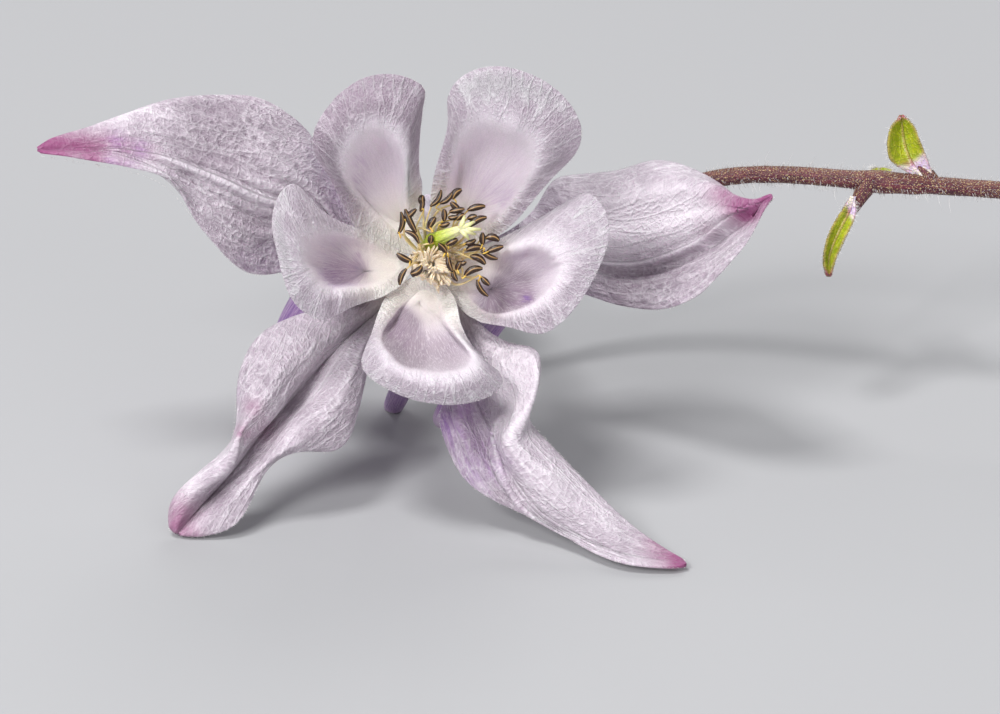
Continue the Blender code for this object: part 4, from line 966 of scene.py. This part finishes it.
def petal_rings(rim, crest, spur, t, bowl=()):
    """The petal's middle surface as rings at t: rim, crest, the bowl if there is one, then circles that turn evenly
    down the spur."""
    rim, crest, spur = np.array(rim, float), np.array(crest, float), np.array(spur, float)
    middle = crest.mean(0)
    ahead = unit(np.gradient(np.vstack([middle, spur[:, :3]]), axis=0)[1:])
    out = crest - middle
    rings = [rim, crest, *bowl]
    sense = 0
    for (x, y, z, radius), direction, slant in zip(spur, ahead, MOUTH_SLANT):
        flat = out - np.outer(out @ direction, direction)
        lift = np.outer(out @ direction, direction) * slant * radius / np.linalg.norm(flat, axis=1).max()
        side = unit(flat[0])
        other = np.cross(direction, side)
        angles = np.unwrap(np.arctan2(flat @ other, flat @ side))
        sense = sense or np.sign(angles[-1] - angles[0])
        even = np.arange(len(crest)) * 2 * math.pi / len(crest) * sense
        share = min(max((radius - 1.2) / 4, 0), 1)
        angles = share * angles + (1 - share) * even
        circle = radius * (np.outer(np.cos(angles), side) + np.outer(np.sin(angles), other))
        rings.append((x, y, z) + circle + lift)
    lines = spline(rings, t)
    turns = np.arange(PETAL_SIDES) / PETAL_SIDES
    return spline(lines.transpose(1, 0, 2), turns, closed=True).transpose(1, 0, 2)


def hollow(crest, spur, pit):
    """The inner skin's own rings: a bowl under the crest that slopes down to the pit, narrower and lower than the
    crest, then circles that run from the pit into the middle of the spur, narrower than it."""
    crest, spur, pit = np.array(crest, float), np.array(spur, float), np.array(pit, float)
    bowl = pit[:3] + (crest - pit[:3]) * BOWL_SIZE
    share = 1 - np.array(PIT_SHARE)[:, None]
    down = pit + (0, 0, -2.0, 0) * np.arange(len(spur))[:, None]
    return spur * (1, 1, 1, BORE) * share + down * (1 - share), [bowl]


def petal_skin(shape, pit, part, seed):
    """One skin of a petal as a grid of rings from the lip's rim down: its inside where part is -1, its outside where
    it is 1. Radial folds, three noises that fade from the lip down, push the middle surface about, and the skin
    stands off it by half the wall, which thins to the rim. Gives the grid, its lay coordinates and how deep each
    point lies."""
    if part > 0:
        t, spur, bowl = np.linspace(0, 1, OUTSIDE_RINGS), shape["spur"], ()
    else:
        t = np.linspace(0, 1, INSIDE_RINGS) ** 1.25 * INSIDE_END
        spur, bowl = hollow(shape["crest"], shape["spur"], pit)
    grid = petal_rings(shape["rim"], shape["crest"], spur, t, bowl)
    normal = surface_normals(grid, closed=True)
    if (normal[-3] * (grid[-3] - grid[-3].mean(0))).sum() < 0:
        normal = -normal
    angle = np.linspace(0, 2 * math.pi, PETAL_SIDES, endpoint=False)[None, :] + 0 * t[:, None]
    depth = t[:, None] + 0 * angle
    lay = np.stack([4 * np.cos(angle), 4 * np.sin(angle), arc(grid, 0)], -1)
    lip = smooth(0.34, 0.05, depth)
    fold = noise(lay * (1.5, 1.5, 0.22), 1.0, seed) * 0.07 * lip + noise(lay, 2.6, seed + 5) * 0.12 * lip
    fold += 0.03 * noise(lay * (3.4, 3.4, 1.1), 1.0, seed + 9) * lip
    grid = grid + normal * fold[..., None]
    wall = WALL * (0.3 + 0.7 * smooth(0.0, 0.08, depth)) * (1 + 1.2 * smooth(0.75, 1.0, depth) * (part > 0))
    return grid + part * normal * (0.5 * wall)[..., None], lay, depth


def petal(name, shape, pit, masks, seed):
    """A hollow petal: the inner skin from the lip's rim down into the spur, and the outer skin back up round the
    spur's tip. A round knob, rings by the cosine and sine of a quarter turn, closes the spur."""
    inner, lay_in, depth_in = petal_skin(shape, pit, -1, seed)
    outer, lay_out, depth_out = petal_skin(shape, pit, 1, seed)
    tip = outer[-1].mean(0)
    knob_way = unit(tip - outer[-4].mean(0))
    size = np.linalg.norm(outer[-1] - tip, axis=1).mean()
    turn = np.linspace(0, math.pi / 2, KNOB_RINGS + 2)[1:-1, None, None]
    knob = tip + (outer[-1] - tip) * np.cos(turn) + knob_way * size * np.sin(turn)
    points = np.concatenate([inner.reshape(-1, 3), outer.reshape(-1, 3), knob.reshape(-1, 3),
                             tip[None] + knob_way * size, inner[-1].mean(0)[None]])

    inside_count = len(inner) * PETAL_SIDES
    inside = quads(len(inner), PETAL_SIDES, closed=True)
    outside = quads(len(outer) + len(knob), PETAL_SIDES, closed=True, first=inside_count)
    j = np.arange(PETAL_SIDES)
    k = (j + 1) % PETAL_SIDES
    rim = np.stack([j, k, k + inside_count, j + inside_count], -1)
    last = inside_count + (len(outer) + len(knob) - 1) * PETAL_SIDES
    pole = np.stack([j + last, k + last, 0 * j + len(points) - 2], -1)
    floor = np.stack([k + inside_count - PETAL_SIDES, j + inside_count - PETAL_SIDES, 0 * j + len(points) - 1], -1)
    faces = [inside[:, ::-1], outside, rim, pole, floor]
    if (surface_normals(outer, closed=True)[-3] * (outer[-3] - outer[-3].mean(0))).sum() > 0:
        faces = [block[:, ::-1] for block in faces]

    extra = len(points) - inside_count - len(outer) * PETAL_SIDES
    lay = np.concatenate([lay_in.reshape(-1, 3), lay_out.reshape(-1, 3), np.tile(lay_out[-1, 0], (extra, 1))])
    values_in, values_out = masks(depth_in, inner, True), masks(depth_out, outer, False)
    joined = {}
    for key in values_in:
        a = (values_in[key] + 0 * depth_in).reshape(-1)
        b = (values_out[key] + 0 * depth_out).reshape(-1)
        joined[key] = np.concatenate([a, b, np.full(extra, b[-1])])
    make_piece(name + "_skin", points, faces, "petal", PETAL_SKIN, (name,), lay=lay, **joined)


def petal_masks(name):
    """The masks of the petal of that name, as a function."""
    tinted, lip_painted_shade, violet_spots, painted_shade_spots = PETAL_STAINS_AND_SHADE[name]
    # painted shade over the whole hollow of a petal whose lip gets little painted shade
    blush_and_shade = 0.12 if lip_painted_shade <= 0.1 else 0.0       # the hollow of a pale-lipped petal is a little dusky all over

    def masks(t, where, inside):
        """Inside: tinted hollow with spots, paler below the lip as painted light, painted shade in spots and over some
        hollows, cream towards the middle of the flower. Outside: violet down the spur. Some lips get painted shade.
        """
        middle = np.hypot(where[..., 0], where[..., 1])
        if inside:
            violet = 0.04 + tinted * smooth(0.13, 0.24, t) + smooth(0.1, 0.2, t) * soft_spots(where, violet_spots)
            vein = smooth(0.15, 0.09, t)
            # the hollow made paler below the lip: painted light where its walls lie in shade
            pale = smooth(0.06, 0.12, t)
        else:
            violet = 0.06 + 0.9 * smooth(0.2, 0.5, t) - 0.5 * smooth(0.93, 1.0, t)
            vein = smooth(0.36, 0.14, t)
            pale = 0.3 * smooth(0.1, 0.3, t)
        # painted shade: spots in the hollow, a little over the whole hollow of some petals, and over the lip
        painted_shade = soft_spots(where, painted_shade_spots) * smooth(0.11, 0.17, t)
        painted_shade = (painted_shade + blush_and_shade * smooth(3.5, 5.5, middle) * smooth(0.135, 0.15, t)) * inside
        painted_shade = painted_shade + lip_painted_shade * smooth(0.12, 0.07, t) * smooth(5.0, 9.0, middle)
        cream = smooth(7.2, 3.2, middle) * (1 - np.clip(1.2 * painted_shade, 0, 1))
        return dict(violet=violet, pink=0 * t, cream=cream, vein=vein, pale=pale, fibre=smooth(0.04, 0.16, t),
                    quilt=0 * t, painted_shade=np.clip(painted_shade, 0, 1))
    return masks


def build_petals():
    """The five hollow petals."""
    for number, (name, shape) in enumerate(PETALS.items()):
        petal(name, shape, PITS[name], petal_masks(name), 100 + 20 * number)


def strands(name, paths, radii, sides, slot, material, replaces=(), wide=1.0, **masks):
    """One piece of many closed tubes. Masks are given per tube and point, and repeat round each ring. The lay
    coordinates are a circle round each tube, set apart from the next tube's, and the run along it."""
    points, faces, angle = tubes(paths, radii, sides, wide)
    count, length = paths.shape[:2]
    run = np.pad(np.linalg.norm(np.diff(paths, axis=1), axis=-1).cumsum(1), [(0, 0), (1, 0)])
    number = np.arange(count)[:, None] * 3.7 + 0 * run
    lay = np.stack([np.cos(angle).reshape(count, length, sides) * 0.6 + number[..., None],
                    np.sin(angle).reshape(count, length, sides) * 0.6,
                    np.repeat(run[..., None], sides, -1)], -1).reshape(-1, 3)
    full = {key: np.repeat((value + 0 * run)[..., None], sides, -1).reshape(-1) for key, value in masks.items()}
    make_piece(name, points, faces, slot, material, replaces, lay=lay, **full)


def tube_parts(parts, sides):
    """Several single tubes as one set of points, faces and lay coordinates: a circle round, and the run along."""
    points, faces, lays, start = [], [], [], 0
    for path, radius in parts:
        p, blocks, angle = tubes(path[None], radius[None], sides)
        run = np.pad(np.linalg.norm(np.diff(path, axis=0), axis=-1).cumsum(), (1, 0))
        lays.append(np.stack([np.cos(angle), np.sin(angle), np.repeat(run, sides)], -1))
        points.append(p)
        faces += [block + start for block in blocks]
        start += len(p)
    return np.concatenate(points), faces, np.concatenate(lays)


def profile(knots, stations):
    """Radii at even stations of a spline through the knots."""
    return spline(np.array(knots)[:, None], np.linspace(0, 1, stations))[:, 0]


def spread(seed, *shape):
    """Seeded random numbers from 0 to 1."""
    return np.random.default_rng(seed).random(shape)


def hairs(name, root, way, length, bend, thin, slot):
    """One piece of short curved hairs of three points: each leaves its root along way and droops along bend by the
    square of the distance. thin gives the radii at the points."""
    t = np.linspace(0, 1, 3)[None, :, None]
    paths = root[:, None] + (way * length[:, None])[:, None] * t + (bend * length[:, None])[:, None] * t * t
    strands(name, paths, thin[None] + 0 * paths[..., 0], 3, slot, HAIR)


STEM_SIDES = 36


def build_stem():
    """The stem with its neck and bract stalks, each a tube on a spline, and its hairs. The stem widens to its far
    end, swells by a bell at each of its two nodes, and wavers by a noise."""
    along = np.linspace(0, 1, 420)
    path = spline(STEM_PATH, along)
    nodes = sum(bell(path[:, 0], x, width) * swelling for x, width, swelling in STEM_NODES)
    radius = STEM_RADIUS * (0.90 + 0.14 * along) + nodes + 0.025 * noise(path, 1.1, 5)
    neck = np.array([(0, 0, h) for h in np.linspace(-2.7, 0.12, 24)])
    stalks = [spline(np.array(stalk), np.linspace(0, 1, 24)) for stalk in BRACT_STALKS]
    parts = [(path, radius), (neck, profile(NECK_RADII, 24)), *((stalk[:, :3], stalk[:, 3]) for stalk in stalks)]
    points, faces, lay = tube_parts(parts, STEM_SIDES)
    rings = points.reshape(-1, STEM_SIDES, 3)
    upper = smooth(-0.2, 0.9, unit(rings - np.mean(rings, 1, keepdims=True))[..., 1]).reshape(-1)
    make_piece("stem_skin", points, faces, "stem", STEM_SKIN, ("stem",), lay=lay, upper=upper)
    build_stem_hairs(path, radius)


def build_stem_hairs(path, radius):
    """Fine hairs at random places on the stem, most of them short and denser towards the flower."""
    r = spread(7, 6, STEM_HAIRS)
    at = (r[0] ** 0.9 * 0.96 + 0.035) * (len(path) - 1)
    low = at.astype(int)
    root = path[low] + (path[np.minimum(low + 1, len(path) - 1)] - path[low]) * (at - low)[:, None]
    ahead = unit(np.gradient(path, axis=0))[low]
    side, over = square_to(ahead)
    turn = r[1] * 2 * math.pi
    way = np.cos(turn)[:, None] * side + np.sin(turn)[:, None] * over
    length = 0.22 + 0.36 * r[2] ** 1.5 + 0.9 * (r[3] > 0.985)
    bend = unit(r[4][:, None] * ahead + (r[5][:, None] - 0.5) * over) * 0.35
    hairs("stem_hairs", root + way * (radius[low] - 0.03)[:, None], way, length, bend,
          STEM_HAIR_RADIUS * np.array(STEM_HAIR_TAPER), "stem")


def fringe(name, edge, way, count, length, slot, seed):
    """Short white hairs at random places on an edge, each leaning by chance from the way given at that place."""
    r = spread(seed, 5, count)
    at = r[0] * (len(edge) - 1)
    low = np.minimum(at.astype(int), len(edge) - 2)
    root = edge[low] + (edge[low + 1] - edge[low]) * (at - low)[:, None]
    lean = unit(way[low] + 0.9 * (r[1:4].T - 0.5))
    droop = 0.5 * (spread(seed + 1, count, 3) - 0.5)
    hairs(name, root - 0.05 * lean, lean, length * (0.5 + r[4]), droop, DOWN_RADIUS * np.array(DOWN_TAPER), slot)


def leaf_fringe(name, rails, count, length, slot, seed):
    """Hairs along both margins of a leaf, pointing outward."""
    grid = blade_grid(rails, 160, 41)
    edge = np.concatenate([grid[8:, 0], grid[:8:-1, -1]])
    way = unit(np.concatenate([grid[8:, 0] - grid[8:, 2], grid[:8:-1, -1] - grid[:8:-1, -3]]))
    fringe(name, edge, way, count, length, slot, seed)


def build_down():
    """Down on the margins of sepals and bracts, and on the lips of the petals."""
    for number, (name, rails) in enumerate(SEPALS.items()):
        leaf_fringe(name + "_down", rails, *SEPAL_DOWN, "sepal", 200 + 2 * number)
    for number, (name, rails) in enumerate(BRACTS.items()):
        leaf_fringe(name + "_hairs", rails, *BRACT_HAIRS, "bract", 220 + 2 * number)
    lip = slice(int(0.25 * PETAL_SIDES), int(0.8 * PETAL_SIDES))
    for number, (name, shape) in enumerate(PETALS.items()):
        rings = petal_rings(shape["rim"], shape["crest"], shape["spur"], np.array([0, 0.02]))
        outward = unit(rings[0] - rings[1])
        fringe(name + "_down", rings[0, lip], outward[lip], *PETAL_DOWN, "petal", 240 + 2 * number)


def build_anthers():
    """Brown anthers with two lobes: each runs from its near to its far end, bends sideways by half a sine wave, and is
    as thick as a power of the sine. The nearer the middle of the bunch, the higher they stand. Gives both ends of
    each one for the filaments."""
    pairs = np.array(ANTHERS, float)
    near, far = pairs[:, :2], pairs[:, 2:]
    low, high = (ANTHER_HEIGHT - 0.2 * np.hypot(*(tip - ANTHER_MIDDLE).T) for tip in (near, far))
    start = np.column_stack([near, low])
    end = np.column_stack([far, high + 0.2])
    t = np.linspace(0, 1, 18)
    size = spread(11, len(pairs))
    bend = np.cross(end - start, (0, 0, 1)) * (0.5 - size)[:, None] * 0.35
    body = start[:, None] + (end - start)[:, None] * t[None, :, None]
    body = body + bend[:, None] * np.sin(math.pi * t)[None, :, None]
    swelling = np.sin(math.pi * np.clip(t, 0.03, 0.97)) ** 0.42
    thick = (ANTHER_RADIUS + ANTHER_SPREAD * size)[:, None] * swelling[None]
    points, faces, angle = tubes(body, thick, 24, lobes=0.14)
    make_piece("anthers", points, faces, "stamens", ANTHER_SKIN, ("stamens",), lay=place(points) / MM,
               gold=np.abs(np.sin(angle)) ** 12)
    return start, end


def build_filaments(start, end, axis):
    """Thin threads from the column to the anthers: each a spline through its foot at the axis, a knee pushed about
    by chance, and the near end of its anther, thicker towards the foot."""
    lean = start - axis * (start @ axis)[:, None]
    out = unit(lean)
    foot = axis * 1.6 + out * 0.8
    knee = axis * 3.3 + out * (0.7 + 0.5 * np.linalg.norm(lean, axis=1))[:, None]
    wander = (spread(12, len(start), 3) - 0.5) * 1.3
    knots = [foot, knee + wander, start * 0.9 + knee * 0.1 - wander * 0.35, start + (end - start) * 0.12]
    t = np.linspace(0, 1, 26)
    threads = spline(np.stack(knots), t).transpose(1, 0, 2)
    thin = (0.07 * smooth(0.7, 0.0, t) + 0.055)[None] + np.zeros((len(start), 1))
    strands("filaments", threads, thin, 8, "stamens", THREAD, far=smooth(0.35, 0.9, t)[None] + 0 * thin)


def build_staminodes(name, axis, count, foot, rise, reach, droop, core, seed):
    """Crumpled cream ribbons round the pistil: each leaves the axis at its foot, a core away from it, rises, reaches
    out by the square of its length, droops by the cube, and is pushed about by noise."""
    turn = (np.arange(count) + 0.6 * spread(seed, count)) * 2 * math.pi / count
    far = reach * (0.65 + 0.6 * spread(seed + 1, count))
    s = np.linspace(0, 1, 26)
    ring = np.stack([np.cos(turn), np.sin(turn), 0 * turn], -1)
    spine = axis * (foot + rise * s - droop * s ** 3)[None, :, None]
    spine = spine + ring[:, None] * (core + far[:, None] * (0.25 * s + 0.75 * s ** 2)[None])[..., None]
    push = np.stack([noise(spine, 0.9, seed + k) for k in (2, 3, 4)], -1)
    spine = spine + STAMINODE_CRUMPLE * push * s[None, :, None]
    width = (STAMINODE_RADIUS * (1 - 0.6 * s ** 3) * (0.75 + 0.25 * np.sin(9 * s)))[None] + 0 * turn[:, None]
    strands(name, spine, width, 8, "stamens", RUFFLE, wide=STAMINODE_FLATNESS,
            far=smooth(1.0, 0.5, s)[None] + 0 * width)


def build_stamens():
    """Anthers, filaments and staminodes, and the column that they stand on: a tube that narrows upward."""
    axis = unit(np.array(AXIS))
    start, end = build_anthers()
    build_filaments(start, end, axis)
    for name, row in STAMINODES.items():
        build_staminodes(name, axis, *row)
    column = axis * np.linspace(0.1, 2.9, 20)[:, None]
    points, faces, lay = tube_parts([(column, profile(COLUMN_RADII, 20))], 48)
    make_piece("stamen_column", points, faces, "stamens", RUFFLE, lay=lay, far=0 * points[:, 0])


def build_pistil():
    """Five fused carpels round a curved middle line, nearer to it and thinner towards the top, and a stigma at the
    end of each that hooks out sideways and curls up by a sine and down by a square."""
    s = np.linspace(0, 1, 36)
    line = spline(HEART, s)
    side, over = square_to(unit(np.gradient(line, axis=0)))
    turn = np.arange(CARPELS)[:, None] * 2 * math.pi / CARPELS
    gap = CARPEL_GAP * (1 - 0.72 * s ** 1.5)
    carpels = line + (np.cos(turn) * gap)[..., None] * side + (np.sin(turn) * gap)[..., None] * over
    plump = (CARPEL_RADIUS * (1 - 0.58 * s ** 1.3))[None] + 0 * turn
    hooks = np.array(HOOKS)[:, None]
    t = s[None, :, None]
    curl_up = STIGMA_CURL * np.sin(2.4 * t) - STIGMA_CURL * t ** 2
    curl = np.concatenate([hooks * (t ** 0.9), curl_up + 0 * hooks[..., :1]], -1)
    hook_radius = (STIGMA_RADIUS * (1 - 0.55 * t[..., 0] ** 1.5)) + 0 * turn
    far = np.concatenate([smooth(0.55, 1.0, s)[None] + 0 * turn, np.ones((CARPELS, len(s)))])
    strands("pistil_skin", np.concatenate([carpels, line[-2] + curl]), np.concatenate([plump, hook_radius]), 16,
            "pistil", LIME, ("pistil",), far=far)


def build_stage():
    """Pale floor, soft key and top lights from above left, a weaker fill from the right, a light from behind, and
    grey surroundings."""
    bpy.ops.mesh.primitive_plane_add(size=4)
    floor = bpy.context.object
    floor.name = "floor"
    floor.data.materials.append(floor_finish())
    for name, spot, size, power in LIGHTS:
        lamp = bpy.data.lights.new(name, "AREA")
        lamp.size = size
        lamp.energy = power
        obj = bpy.data.objects.new(name, lamp)
        bpy.context.scene.collection.objects.link(obj)
        spot = Vector(spot)
        obj.location = spot
        obj.rotation_euler = (-spot).to_track_quat("-Z", "Y").to_euler()
    world = bpy.data.worlds.new("surroundings")
    world.use_nodes = True
    background = world.node_tree.nodes["Background"]
    background.inputs["Color"].default_value = (*SURROUNDINGS, 1)
    background.inputs["Strength"].default_value = SURROUNDINGS_POWER
    bpy.context.scene.world = world


def build_camera():
    """The camera of the photograph: straight above the flower's face, a long way off."""
    lens = bpy.data.cameras.new("camera")
    lens.sensor_width = 36
    lens.lens = LENS
    lens.clip_start = 0.01
    camera = bpy.data.objects.new("camera", lens)
    bpy.context.scene.collection.objects.link(camera)
    camera.matrix_world = Matrix.Translation(Vector(place(EYE))) @ Matrix(axes().T.tolist()).to_4x4()
    bpy.context.scene.camera = camera


build_sepals()
build_petals()
build_stem()
build_down()
build_bracts()
build_stamens()
build_pistil()
build_stage()
build_camera()
bpy.context.scene.view_settings.view_transform = "Standard"
